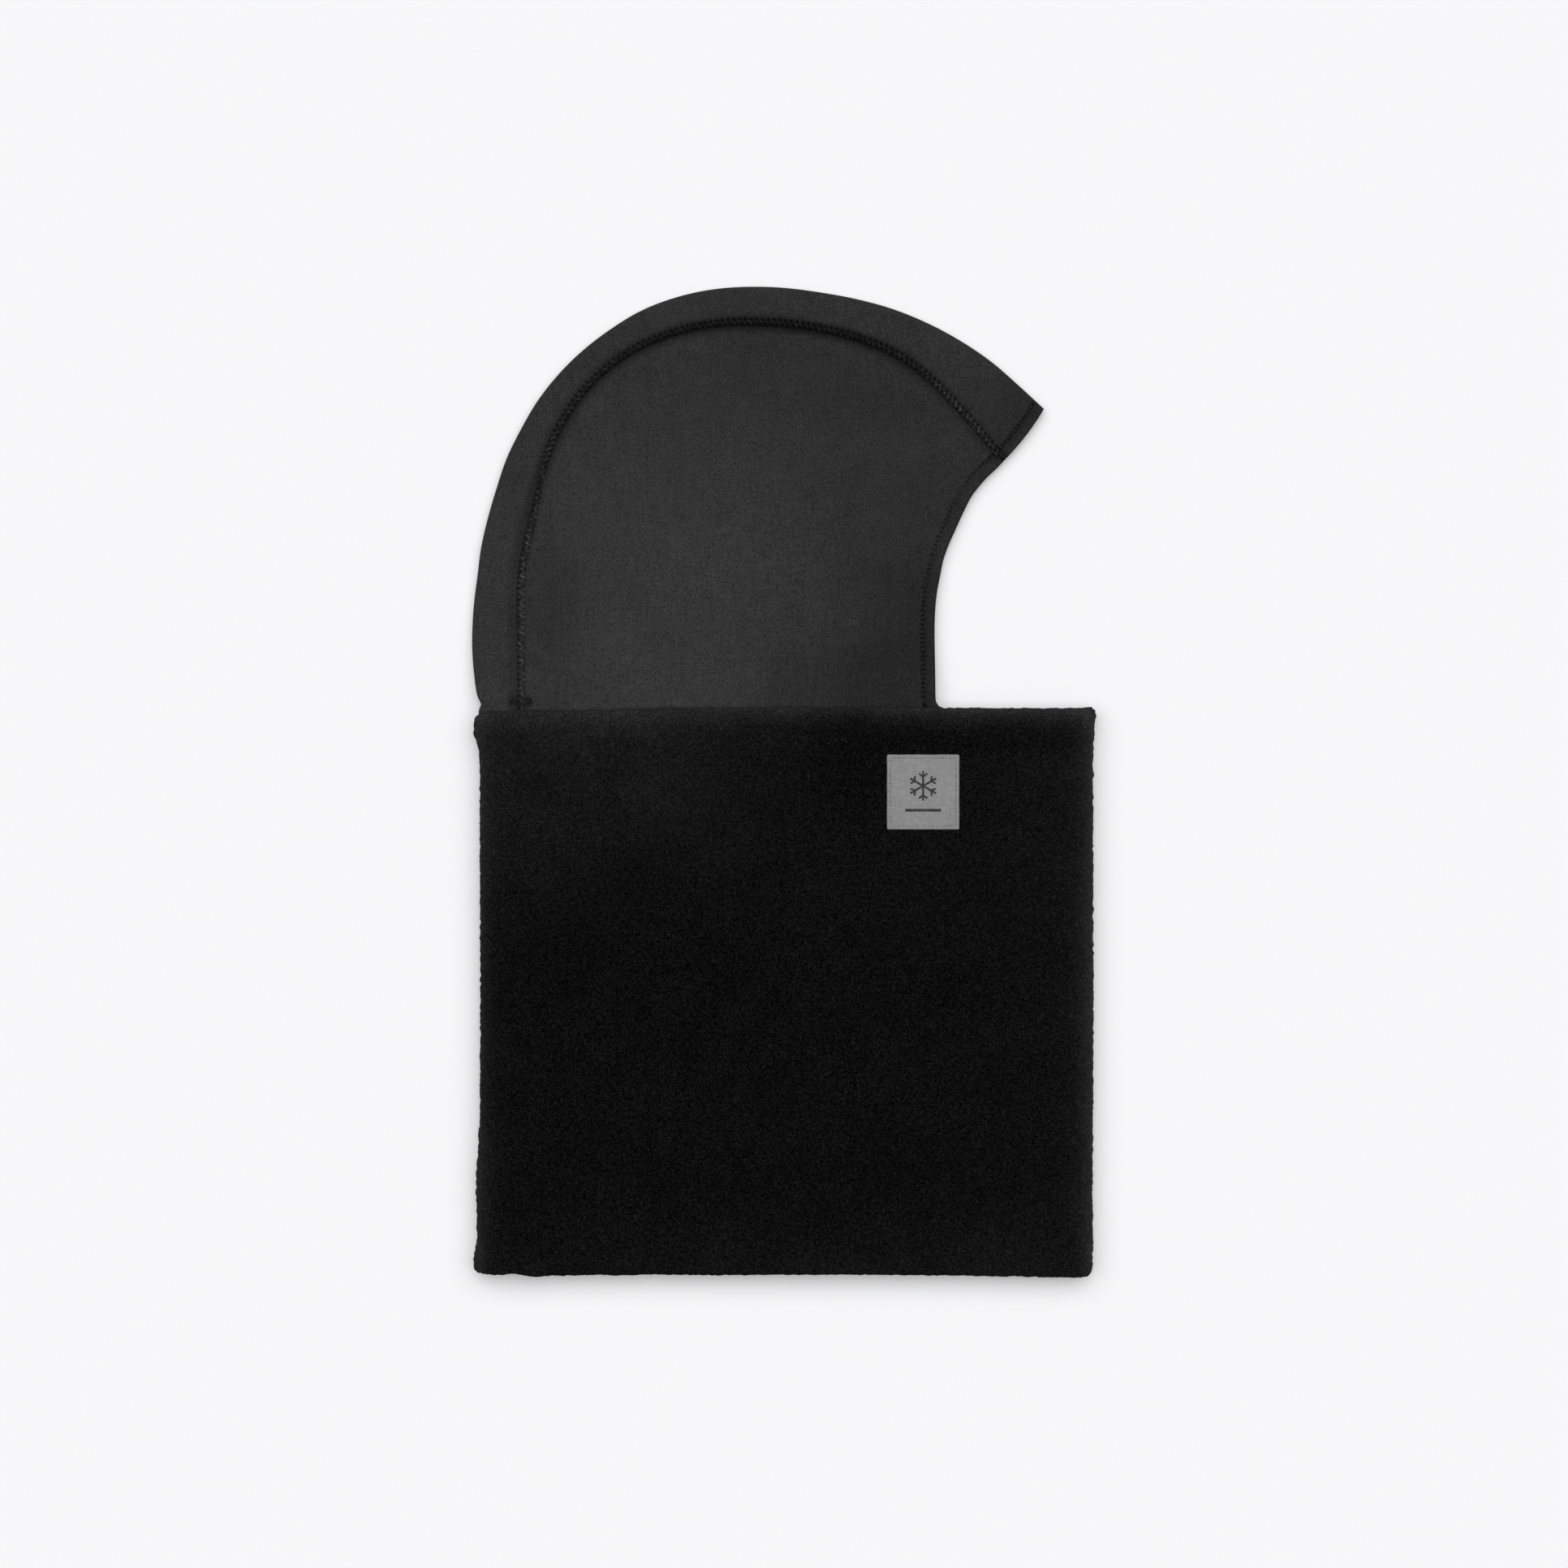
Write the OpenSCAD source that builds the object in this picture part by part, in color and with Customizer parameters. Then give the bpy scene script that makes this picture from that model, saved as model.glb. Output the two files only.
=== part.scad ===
// Two-fabric balaclava, laid out flat on its side: a double-layer fleece neck tube
// with a three-panel stretch-knit hood sewn into its upper mouth.
// Millimetres. X runs from the back of the head (-) to the face (+), Y from the
// neck hem (-) to the crown (+), and Z up off the surface that it lies on.
// The origin is the centre of the garment's footprint, on that surface.
// "Near" pieces are on the upper face of the flattened hood, "far" ones on the lower.

/* [Neck tube] */
// Back fold of the tube, as an X position
tube_back = -128; // [-135:0.5:-120]
// Front fold of the tube, as an X position
tube_front = 131.2; // [110:0.4:140]
// Upper mouth of the tube, as a Y position
tube_top = 31; // [25:0.5:31]
// Lower hem of the tube, as a Y position
tube_bottom = -209.1; // [-240:0.3:-160]
// Height of the flattened tube: two outer walls, two lining walls and the slit
tube_thick = 16; // [15:0.25:16]
// Thickness of the outer fleece
outer_wall = 3.0; // [2.4:0.1:3.0]
// Thickness of the lining fleece
lining_wall = 2.6; // [2:0.1:2.6]
// How far the outer fleece turns in over each mouth
lip = 4; // [3:0.5:6]

/* [Hood] */
// Thickness of the hood's knit fabric
knit = 0.9; // [0.6:0.1:1]
// Height of the flattened hood's upper face
hood_thick = 6.6; // [5.5:0.1:6.6]
// Height of the hood's lower face, carried on its seam
hood_under = 0.5; // [0.4:0.1:0.5]
// Width of the turned-in hem round the face opening
hem_width = 7; // [6:0.5:9]
// Distance of the hem's stitch row from the edge
stitch_in = 4.9; // [4:0.1:5.5]
// Width of the flatlock seam between two panels
flatlock_w = 5; // [4:0.5:6]

/* [Label] */
// Width of the sewn-on label
label_w = 30.4; // [20:0.2:34]
// Height of the sewn-on label
label_h = 31.5; // [20:0.5:36]
// Centre of the label, as X and Y
label_at = [58.5, -4.1];

/* [Outline] */
// Each outline is a list of [X, Y] points that a smooth curve passes through.
// Crown fold of the gusset, from the nape to the peak of the forehead
crown_pts = [[-128, 31.6], [-131.2, 58], [-127.4, 99.5], [-116.6, 136.8],
             [-94.6, 172.4], [-59.8, 199.1], [-15.6, 209], [30.3, 203.9],
             [74.2, 186.4], [109.9, 157.7]];
// Seam line between side panel and gusset, from the nape to the face edge
seam_pts = [[-111.5, 31.6], [-111.9, 60], [-112, 80], [-107, 111.2],
            [-94, 148.9], [-67.8, 178.5], [-31, 192.1], [8.5, 191.5],
            [46.5, 180], [76.2, 153.9], [92.9, 136.1]];
// Front edge of the gusset, from the peak to the seam
brow_pts = [[109.9, 157.7], [102.4, 146.6], [92.9, 136.1]];
// Face edge of a side panel, from the seam down to the tube
face_pts = [[92.9, 136.1], [79.8, 121.3], [69.6, 100.5], [64.6, 80],
            [63.4, 58], [63.7, 31.6]];

/* [Hidden] */
$fn = 48;

gap = 0.2;                                   // running gap between two layers
clear = 0.02;                                // gap between a piece and what is sewn on it

fleece_colour = [0.02, 0.02, 0.022];
lining_colour = [0.025, 0.025, 0.027];
knit_colour = [0.12, 0.12, 0.125];
thread_colour = [0.015, 0.015, 0.016];
label_colour = [0.54, 0.54, 0.54];
tape_colour = [0.8, 0.8, 0.8];

// ---- curves -------------------------------------------------------------
// the point at share "at" (0 to 1) of a Catmull-Rom curve from start to end
function curve_point(before, start, end, after, at) = 0.5 * ((2 * start)
    + (end - before) * at
    + (2 * before - 5 * start + 4 * end - after) * at * at
    + (3 * start - before - 3 * end + after) * at * at * at);
// a smooth curve through every point, with "steps" steps between two of them
function curve(points, steps) =
    let (count = len(points),
         first = 2 * points[0] - points[1],
         last = 2 * points[count - 1] - points[count - 2],
         all = concat([first], points, [last]))
    concat([for (i = [1 : count - 1], k = [0 : steps - 1])
                curve_point(all[i - 1], all[i], all[i + 1], all[i + 2], k / steps)],
           [points[count - 1]]);
function unit(v) = v / norm(v);
// the path's direction at its point i
function along(path, i) =
    unit(path[min(i + 1, len(path) - 1)] - path[max(i - 1, 0)]);
// the path moved sideways, to the left of its direction
function beside(path, distance) = [for (i = [0 : len(path) - 1])
    let (way = along(path, i)) path[i] + distance * [-way[1], way[0]]];
function flip(path) = [for (i = [len(path) - 1 : -1 : 0]) path[i]];
// the outline of a band centred on the path
function band(path, width) =
    concat(beside(path, width / 2), flip(beside(path, -width / 2)));
// the outline of a strip along the right of the path
function strip(path, width) = concat(path, flip(beside(path, -width)));
// the path without some of its first and last points
function trim(path, first, last) = [for (i = [first : len(path) - 1 - last]) path[i]];

crown = curve(crown_pts, 6);
seam = curve(seam_pts, 6);
brow = curve(brow_pts, 5);
face = curve(face_pts, 6);

// ---- neck tube ----------------------------------------------------------
tube_mid = tube_thick / 2;
full_wall = outer_wall + gap + lining_wall;  // one whole wall, outer and lining
back_room = 4.2;                             // hollow behind the lining for the seam allowances
edge_seam_len = 1.2;                         // length along Y of a mouth or hem seam
lining_margin = lip + gap + edge_seam_len + gap; // from the tube's end to the lining
allowance_margin = lining_margin + 0.4;      // from the tube's end to the seam allowances
allowance_size = [2.6, 2.8];                 // in X and Z
allowance_gap = 1.2;                         // from the outer fleece's inner face
allowance_rise = 1.7;                        // of its centre from the tube's mid height

// the flattened tube's section, drawn in by "inset" and by "back_inset" more at the back
module stadium(inset, back_inset = 0) {
    radius = tube_mid - inset;
    back_x = tube_back + tube_mid + back_inset;
    front_x = tube_front - tube_mid;
    translate([back_x, tube_mid]) circle(radius);
    translate([front_x, tube_mid]) circle(radius);
    translate([back_x, tube_mid - radius]) square([front_x - back_x, 2 * radius]);
}
module ring(inset, wall, back_outer = 0, back_inner = 0) difference() {
    stadium(inset, back_outer);
    stadium(inset + wall, back_inner);
}
// a section drawn in X and Z, run along Y from low to high
module run(low, high) translate([0, high, 0]) rotate([90, 0, 0])
    linear_extrude(height = high - low) children();
// the same, stopping short of both ends of the tube
module run_within(margin) run(tube_bottom + margin, tube_top - margin) children();

module outer_fleece() color(fleece_colour) {
    run_within(lip) ring(0, outer_wall);
    for (low = [tube_top - lip, tube_bottom])
        run(low, low + lip) ring(0, full_wall, 0, back_room);
}
module lining_fleece() color(lining_colour)
    run_within(lining_margin) ring(outer_wall + gap, lining_wall, back_room, back_room);

// overlocked seam allowances, standing in the hollow behind the lining
module seam_allowance(mid) run_within(allowance_margin)
    translate([tube_back + outer_wall + allowance_gap, mid - allowance_size[1] / 2])
        square(allowance_size);
module outer_back_seam() color(thread_colour) seam_allowance(tube_mid + allowance_rise);
module lining_back_seam() color(thread_colour) seam_allowance(tube_mid - allowance_rise);

// a ring of thread between the end of the lining and a turned-in lip
module edge_seam(low) {
    inset = 0.2; // from each face of the lining
    run(low, low + edge_seam_len)
        ring(outer_wall + gap + inset, lining_wall - 2 * inset, back_room, back_room);
}
module mouth_seam() color(thread_colour) edge_seam(tube_top - lip - gap - edge_seam_len);
module hem_seam() color(thread_colour) edge_seam(tube_bottom + lip + gap);

// ---- labels -------------------------------------------------------------
patch_thick = 0.7;
patch_corner = 0.8;                          // corner radius
patch_stitch_in = 1.5;                       // from the label's edge to its stitching
patch_stitch_w = 0.35;
patch_stitch_thick = 0.24;
tape_size = [24, 32, 0.25];                  // one leaf of the care label
tape_low_y = -75;                            // lower edge of the care label
tape_fold = 0.3;                             // length of its fold in X
tape_height = 0.7;                           // height over both leaves

module rounded(width, height, radius) {
    square([width - 2 * radius, height], center = true);
    square([width, height - 2 * radius], center = true);
    for (side_x = [-1, 1], side_y = [-1, 1])
        translate([side_x * (width / 2 - radius), side_y * (height / 2 - radius)])
            circle(radius);
}
// the label's rectangle, drawn in on all sides
module label_rectangle(inset)
    square([label_w - 2 * inset, label_h - 2 * inset], center = true);
module on_label(low, thick) translate([label_at[0], label_at[1], low])
    linear_extrude(height = thick) children();

module label_patch() color(label_colour)
    on_label(tube_thick + clear, patch_thick) rounded(label_w, label_h, patch_corner);
module label_stitching() color(label_colour * 0.85)
    on_label(tube_thick + patch_thick + 2 * clear, patch_stitch_thick) difference() {
        label_rectangle(patch_stitch_in);
        label_rectangle(patch_stitch_in + patch_stitch_w);
    }
// a folded loop of satin tape inside the tube, against the back of the lining
module care_label() color(tape_colour) {
    back_x = tube_back + back_room + full_wall + gap;
    low = tube_mid - tape_height / 2;
    for (z = [low, low + tape_height - tape_size[2]])
        translate([back_x, tape_low_y, z]) cube(tape_size);
    translate([back_x + tape_size[0], tape_low_y, low])
        cube([tape_fold, tape_size[1], tape_height]);
}

// ---- hood ---------------------------------------------------------------
near_face = hood_thick;                      // upper face of the near fabric
far_face = hood_under;                       // lower face of the far fabric
turned_in = knit - 0.1;                      // thickness of the turned-in fabric
hem_thick = knit + turned_in;
butt_gap = 0.1;                              // from the seam line to each panel
flatlock_rise = 0.32;                        // tops of the threads above the fabric
stitch_rise = 0.5;
tack_rise = 0.4;
stitch_w = 0.6;
tack_size = [9, 1.6];
tack_up = 1.2;                               // from the seam's lower end to the tack's centre

side_shape = concat(beside(seam, -butt_gap), trim(face, 1, 0));
gusset_shape = concat(crown, trim(brow, 1, 1), flip(beside(seam, butt_gap)));
// the hemmed edges, run on past both ends of the fabric
face_hem_line = concat([[96, 140]], face, [[63.7, 25]]);
brow_hem_line = concat([[113, 162]], brow, [[88, 131]]);

// "levels" are the lowest and highest Z of a piece
function near_thread(rise) = [near_face + clear, near_face + rise];
function far_thread(rise) = [far_face - rise, far_face - clear];

module plate(points, levels) translate([0, 0, levels[0]])
    linear_extrude(height = levels[1] - levels[0]) polygon(points);
// the part of a shape within the hem's width of its edge
module hem(shape, line, levels) intersection() {
    plate(shape, levels);
    plate(strip(line, hem_width), levels);
}

// fabric turned in round the face opening, so it is double there
module side_panel(levels, hem_levels) {
    plate(side_shape, levels);
    hem(side_shape, face_hem_line, hem_levels);
}
module near_side_panel() color(knit_colour)
    side_panel([near_face - knit, near_face], [near_face - hem_thick, near_face]);
module far_side_panel() color(knit_colour)
    side_panel([far_face, far_face + knit], [far_face, far_face + hem_thick]);

// the space inside the folded gusset, which runs on past its open edges
module gusset_hollow(wall) {
    past_seam = 4;
    nape = crown[0] + [wall, -5];
    peak = crown[len(crown) - 1] + [6, -5];
    below_brow = [92.9, 120];
    below_nape = [-107, 25];
    plate(concat([nape], beside(crown, -wall), [peak, below_brow],
                 flip(trim(beside(seam, -past_seam), 0, 1)), [below_nape]),
          [far_face + wall, near_face - wall]);
}
// one strip of fabric folded over the crown, so both halves join along the fold,
// and turned in at its front edge
module centre_gusset() color(knit_colour) {
    levels = [far_face, near_face];
    difference() {
        plate(gusset_shape, levels);
        gusset_hollow(knit);
    }
    difference() {
        hem(gusset_shape, brow_hem_line, levels);
        gusset_hollow(hem_thick);
    }
}

// thread covering the butted edges of panel and gusset
module flatlock_seam(levels) plate(band(trim(seam, 1, 1), flatlock_w), levels);
module near_flatlock_seam() color(thread_colour) flatlock_seam(near_thread(flatlock_rise));
module far_flatlock_seam() color(thread_colour) flatlock_seam(far_thread(flatlock_rise));

// one row round the opening, cut away over "crossing" levels to clear the flatlock
module hem_stitching(levels, crossing) difference() {
    plate(band(concat(trim(beside(brow, -stitch_in), 1, 1),
                      trim(beside(face, -stitch_in), 1, 0)), stitch_w), levels);
    plate(band(seam, flatlock_w + 2 * 0.1), crossing);
}
module near_hem_stitching() color(thread_colour)
    hem_stitching(near_thread(stitch_rise), [near_face, near_face + flatlock_rise + clear]);
module far_hem_stitching() color(thread_colour)
    hem_stitching([0, far_face - clear], [far_face - flatlock_rise - clear, far_face]);

// short dense tack that locks the lower end of each flatlock seam
module seam_tack(levels) translate([seam_pts[0][0], seam_pts[0][1] + tack_up, levels[0]])
    linear_extrude(height = levels[1] - levels[0]) square(tack_size, center = true);
module near_seam_tack() color(thread_colour) seam_tack(near_thread(tack_rise));
module far_seam_tack() color(thread_colour) seam_tack(far_thread(tack_rise));

outer_fleece();
lining_fleece();
outer_back_seam();
lining_back_seam();
mouth_seam();
hem_seam();
label_patch();
label_stitching();
care_label();
near_side_panel();
far_side_panel();
centre_gusset();
near_flatlock_seam();
far_flatlock_seam();
near_hem_stitching();
far_hem_stitching();
near_seam_tack();
far_seam_tack();
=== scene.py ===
"""Balaclava laid flat: a fleece neck tube with a jersey hood sewn into its upper mouth.

It lies on its side: +X towards the face, +Y towards the crown, +Z up off the surface. The wall
lying uppermost is the near one, the wall on the surface the far one. Shapes are worked out in
millimetres and written to Blender in metres.
"""

import math

import bpy
import numpy as np
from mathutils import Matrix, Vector
from mathutils.geometry import delaunay_2d_cdt


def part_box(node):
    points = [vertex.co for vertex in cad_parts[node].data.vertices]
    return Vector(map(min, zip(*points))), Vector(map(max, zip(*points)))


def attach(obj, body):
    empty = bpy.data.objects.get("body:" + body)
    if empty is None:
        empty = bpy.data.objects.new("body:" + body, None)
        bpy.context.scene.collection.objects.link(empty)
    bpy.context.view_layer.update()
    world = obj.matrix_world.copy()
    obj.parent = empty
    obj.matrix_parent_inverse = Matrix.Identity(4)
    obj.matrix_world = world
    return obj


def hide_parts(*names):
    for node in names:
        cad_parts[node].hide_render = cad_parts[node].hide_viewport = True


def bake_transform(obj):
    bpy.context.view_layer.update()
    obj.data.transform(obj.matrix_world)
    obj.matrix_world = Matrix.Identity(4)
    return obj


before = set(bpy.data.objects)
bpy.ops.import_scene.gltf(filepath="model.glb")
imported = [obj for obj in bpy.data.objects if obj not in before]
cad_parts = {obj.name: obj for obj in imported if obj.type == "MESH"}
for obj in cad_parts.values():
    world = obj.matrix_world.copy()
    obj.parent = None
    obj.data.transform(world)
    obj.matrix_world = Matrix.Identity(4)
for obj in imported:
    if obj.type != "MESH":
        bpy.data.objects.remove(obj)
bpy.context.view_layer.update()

MM = 0.001
TURN = 2 * math.pi

# Stitching, shared by the shapes and the jersey's shading
SEAM_PITCH = 2.4
BESIDE_LOW, BESIDE_HIGH = -2.4, 1.95  # second needle row, across the seam: at the nape, above it
BESIDE_SWAP = (85.0, 125.0)  # where along the seam it changes sides
HEM_PITCH = 1.9
HEM_ROW = 5.15  # stitch row, in from the opening's edge


def box_mm(node):
    low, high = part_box(node)
    return np.array(low) / MM, np.array(high) / MM


# --------------------------------------------------------------------------- falloffs and noise


def smooth(start, end, x):
    t = np.clip((np.asarray(x, float) - start) / (end - start), 0, 1)
    return t * t * (3 - 2 * t)


def bell(x, middle, width):
    return np.exp(-(((x - middle) / width) ** 2))


def fade(depth, reach):
    return np.exp(-np.maximum(depth, 0) / reach)


def rounded(depth, radius):
    """How far a round edge has dropped, 1 at the edge to 0 at radius inside it."""
    return 1 - np.sqrt(np.clip(1 - (1 - np.clip(depth / radius, 0, 1)) ** 2, 0, 1))


class Noise:
    """Seeded gradient noise, about -1 to 1."""

    def __init__(self, seed):
        rng = np.random.RandomState(seed)
        self.order = np.tile(rng.permutation(256), 3)
        slopes = rng.normal(size=(256, 3))
        self.slopes = slopes / np.linalg.norm(slopes, axis=1)[:, None]

    def __call__(self, x, y, z=0.0):
        where = np.broadcast_arrays(*(np.asarray(v, float) for v in (x, y, z)))
        cells = [np.floor(v).astype(int) for v in where]
        fx, fy, fz = (v - cell for v, cell in zip(where, cells))
        cx, cy, cz = (cell & 255 for cell in cells)
        ease_x, ease_y, ease_z = (t * t * t * (t * (t * 6 - 15) + 10) for t in (fx, fy, fz))
        order = self.order

        def corner(i, j, k):
            slope = self.slopes[order[order[order[cx + i] + cy + j] + cz + k]]
            return slope[..., 0] * (fx - i) + slope[..., 1] * (fy - j) + slope[..., 2] * (fz - k)

        def mix(a, b, t):
            return a + (b - a) * t

        def level(k):
            low = mix(corner(0, 0, k), corner(1, 0, k), ease_x)
            high = mix(corner(0, 1, k), corner(1, 1, k), ease_x)
            return mix(low, high, ease_y)

        return 1.6 * mix(level(0), level(1), ease_z)

    def layered(self, x, y, z):
        """The noise with a finer, weaker octave added."""
        return self(x, y, z) + 0.5 * self(x * 2 + 17, y * 2, z * 2)


NOISE_A, NOISE_B, NOISE_C, NOISE_D = (Noise(seed) for seed in (11, 23, 37, 51))


# --------------------------------------------------------------------------- curves


def spline(points, samples=24):
    """Catmull-Rom curve through the points."""
    p = [np.array(q, float) for q in points]
    p = [2 * p[0] - p[1]] + p + [2 * p[-1] - p[-2]]
    out = []
    for i in range(1, len(p) - 2):
        a, b, c, d = p[i - 1 : i + 3]
        for k in range(samples):
            t = k / samples
            square = (2 * a - 5 * b + 4 * c - d) * t * t
            cube = (3 * b - a - 3 * c + d) * t**3
            out.append(0.5 * (2 * b + (c - a) * t + square + cube))
    out.append(p[-2])
    return np.array(out)


class Path:
    """A plane curve with arc length, tangents and left normals."""

    def __init__(self, points):
        self.p = np.array(points, float)
        self.steps = np.linalg.norm(np.diff(self.p, axis=0), axis=1)
        self.s = np.concatenate([[0], np.cumsum(self.steps)])
        self.length = self.s[-1]
        tangent = np.gradient(self.p, self.s, axis=0)
        self.tangent = tangent / np.linalg.norm(tangent, axis=1)[:, None]

    def sample(self, s, values):
        return np.stack([np.interp(s, self.s, values[:, k]) for k in (0, 1)], -1)

    def at(self, s):
        return self.sample(s, self.p)

    def off(self, s, distance):
        """Points at arc length s, moved to the left by distance."""
        t = self.sample(s, self.tangent)
        t = t / np.linalg.norm(t, axis=-1, keepdims=True)
        left = np.stack([-t[..., 1], t[..., 0]], -1)
        return self.at(s) + left * np.asarray(distance)[..., None]

    def near(self, points, batch=4000):
        """(arc length, signed distance, left positive) of the nearest place to each point."""
        points = np.asarray(points, float).reshape(-1, 2)
        start, span = self.p[:-1], np.diff(self.p, axis=0)
        span2 = (span**2).sum(1)
        along, distance = np.empty(len(points)), np.empty(len(points))
        for i in range(0, len(points), batch):
            q = points[i : i + batch]
            t = np.clip(((q[:, None] - start) * span).sum(2) / span2, 0, 1)
            away = q[:, None] - (start + t[..., None] * span)
            away2 = (away**2).sum(2)
            j = away2.argmin(1)
            r = np.arange(len(q))
            side = span[j, 0] * away[r, j, 1] - span[j, 1] * away[r, j, 0]
            along[i : i + batch] = self.s[j] + t[r, j] * self.steps[j]
            distance[i : i + batch] = np.sqrt(away2[r, j]) * np.where(side >= 0, 1, -1)
        return along, distance


HOOD_START_Y = 24.0  # how far into the tube's mouth the hood's fabric reaches
NECK_Y = 31.0  # where the hood comes out of the mouth

# The hood's lines, as (x, y)
CROWN_FOLD = [
    (-127.2, HOOD_START_Y), (-128.5, 28.6), (-128.3, 30.9), (-127.6, 32.7), (-128.1, 34.2),
    (-129.2, 36.6), (-130.2, 42), (-131.3, 52), (-131.6, 62), (-130.9, 75), (-129.4, 87),
    (-127.8, 99.4), (-125.0, 111.6), (-121.4, 124), (-117.1, 136.7), (-111.1, 149),
    (-104.0, 161.1), (-95.1, 172.4), (-84.7, 182.6), (-72.9, 191.6), (-59.9, 199.4),
    (-45.7, 204.8), (-30.9, 208.1), (-15.6, 209.3), (-0.2, 208.9), (15.1, 207), (30.4, 204.2),
    (45.5, 200.1), (60.2, 194.2), (74.3, 186.7), (87.6, 177.7), (99.9, 167), (109.9, 157.7),
]
PANEL_SEAM = [
    (-111.3, HOOD_START_Y), (-111.5, 31.6), (-111.9, 60), (-112.0, 80), (-110.9, 93),
    (-107.0, 111.2), (-101.5, 130.4), (-94.0, 148.9), (-82.7, 165.4), (-67.8, 178.5),
    (-50.2, 187.3), (-31.0, 192.1), (-11.2, 193.1), (8.5, 191.5), (28.0, 187.3), (46.5, 180.0),
    (62.2, 168.6), (76.2, 153.9), (88.9, 139.2), (92.9, 135.8),
]
FACE_EDGE = [
    (92.9, 135.8), (89.6, 132.4), (85.1, 128.1), (79.6, 121.3), (75.9, 114.3), (72.8, 107.5),
    (69.7, 100.6), (67.3, 93.8), (65.9, 87), (64.6, 80.1), (63.9, 73.3), (63.6, 66.3),
    (63.6, 59), (63.8, 45), (63.9, 35.6), (64.3, 33.6), (65.4, 32.0), (67.4, 30.7),
    (68.9, HOOD_START_Y),
]
BROW_EDGE = [
    (109.9, 157.7), (106.4, 151.9), (102.4, 146.4), (97.9, 140.9), (94.6, 137.4), (92.9, 135.8),
]
crown, seam, face, brow = (
    Path(spline(line)) for line in (CROWN_FOLD, PANEL_SEAM, FACE_EDGE, BROW_EDGE)
)
opening = Path(np.vstack([brow.p[:-1], face.p]))  # the whole edge of the opening

# --------------------------------------------------------------------------- mesh building


def normals(p, closed=False):
    """Normals of a grid of points, which may close on itself both ways."""

    def diff(axis):
        if closed:
            return np.roll(p, -1, axis) - np.roll(p, 1, axis)
        return np.gradient(p, axis=axis)

    n = np.cross(diff(0), diff(1))
    return n / np.maximum(np.linalg.norm(n, axis=-1, keepdims=True), 1e-9)


def faces_down(p, i, j, closed=False):
    return normals(p, closed)[i, j, 2] < 0


def path_normal_frame(p, closed=False):
    """Unit steps along a line of points."""
    t = np.roll(p, -1, 0) - np.roll(p, 1, 0) if closed else np.gradient(p, axis=0)
    return t / np.maximum(np.linalg.norm(t, axis=1), 1e-9)[:, None]


class Build:
    """Collects quads and triangles with per-corner bake UVs and per-vertex attributes."""

    def __init__(self):
        self.v, self.f, self.uv = [], [], []
        self.attrs = {}
        self.count = 0

    def verts(self, points, **attrs):
        points = np.asarray(points, float).reshape(-1, 3)
        first = self.count
        self.v.append(points)
        for key, values in attrs.items():
            self.attrs.setdefault(key, []).append(np.asarray(values, float).reshape(-1, 3))
        self.count += len(points)
        return first

    def faces(self, faces, uv):
        faces = np.asarray(faces, int)
        self.f.append(faces)
        self.uv.append(np.asarray(uv, float).reshape(len(faces), faces.shape[1], 2))

    def grid(self, p, closed_u=False, closed_v=False, flip=False, rect=(0, 0, 1, 1), rows=1,
             **attrs):
        """p is (nu, nv, 3). rect is the UV rectangle; rows folds a long strip into that many."""
        nu, nv = p.shape[:2]
        first = self.verts(p, **attrs)
        count_u = nu if closed_u else nu - 1
        count_v = nv if closed_v else nv - 1
        index = np.meshgrid(np.arange(count_u), np.arange(count_v), indexing="ij")
        i, j = (g.ravel() for g in index)
        i1, j1 = i + 1, j + 1
        wi, wj = i1 % nu, j1 % nv
        quad = first + np.stack([i * nv + j, wi * nv + j, wi * nv + wj, i * nv + wj], 1)
        u = np.stack([i, i1, i1, i], 1).astype(float)
        v = np.stack([j, j, j1, j1], 1).astype(float)
        if rows > 1:
            per_row = math.ceil(count_u / rows)
            row = (i // per_row)[:, None]
            u = (u - row * per_row) / per_row
            v = (row + 0.04 + 0.92 * v / count_v) / rows
        else:
            u, v = u / count_u, v / count_v
        x0, y0, x1, y1 = rect
        uv = np.stack([x0 + u * (x1 - x0), y0 + v * (y1 - y0)], -1)
        if flip:
            quad, uv = quad[:, ::-1], uv[:, ::-1]
        self.faces(quad, uv)
        return first

    def obj(self, name, material):
        v = np.concatenate(self.v)
        totals = np.concatenate([np.full(len(f), f.shape[1]) for f in self.f])
        starts = np.concatenate([[0], np.cumsum(totals)[:-1]])
        loops = np.concatenate([f.ravel() for f in self.f])
        me = bpy.data.meshes.new(name)
        me.vertices.add(len(v))
        me.vertices.foreach_set("co", (v * MM).astype(np.float32).ravel())
        me.loops.add(len(loops))
        me.polygons.add(len(totals))
        me.loops.foreach_set("vertex_index", loops.astype(np.int32))
        me.polygons.foreach_set("loop_start", starts.astype(np.int32))
        me.polygons.foreach_set("material_index", np.zeros(len(totals), np.int32))
        me.update(calc_edges=True)
        layer = me.uv_layers.new(name="OFBake")
        uv = np.concatenate([u.reshape(-1, 2) for u in self.uv])
        layer.data.foreach_set("uv", uv.astype(np.float32).ravel())
        self.attrs["rest"] = [v]
        for key, parts in self.attrs.items():
            attribute = me.attributes.new(key, "FLOAT_VECTOR", "POINT")
            values = np.concatenate(parts).astype(np.float32)
            attribute.data.foreach_set("vector", values.ravel())
        me.shade_smooth()
        me.validate()
        me.materials.append(material)
        o = bpy.data.objects.new(name, me)
        bpy.context.scene.collection.objects.link(o)
        return o


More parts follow.
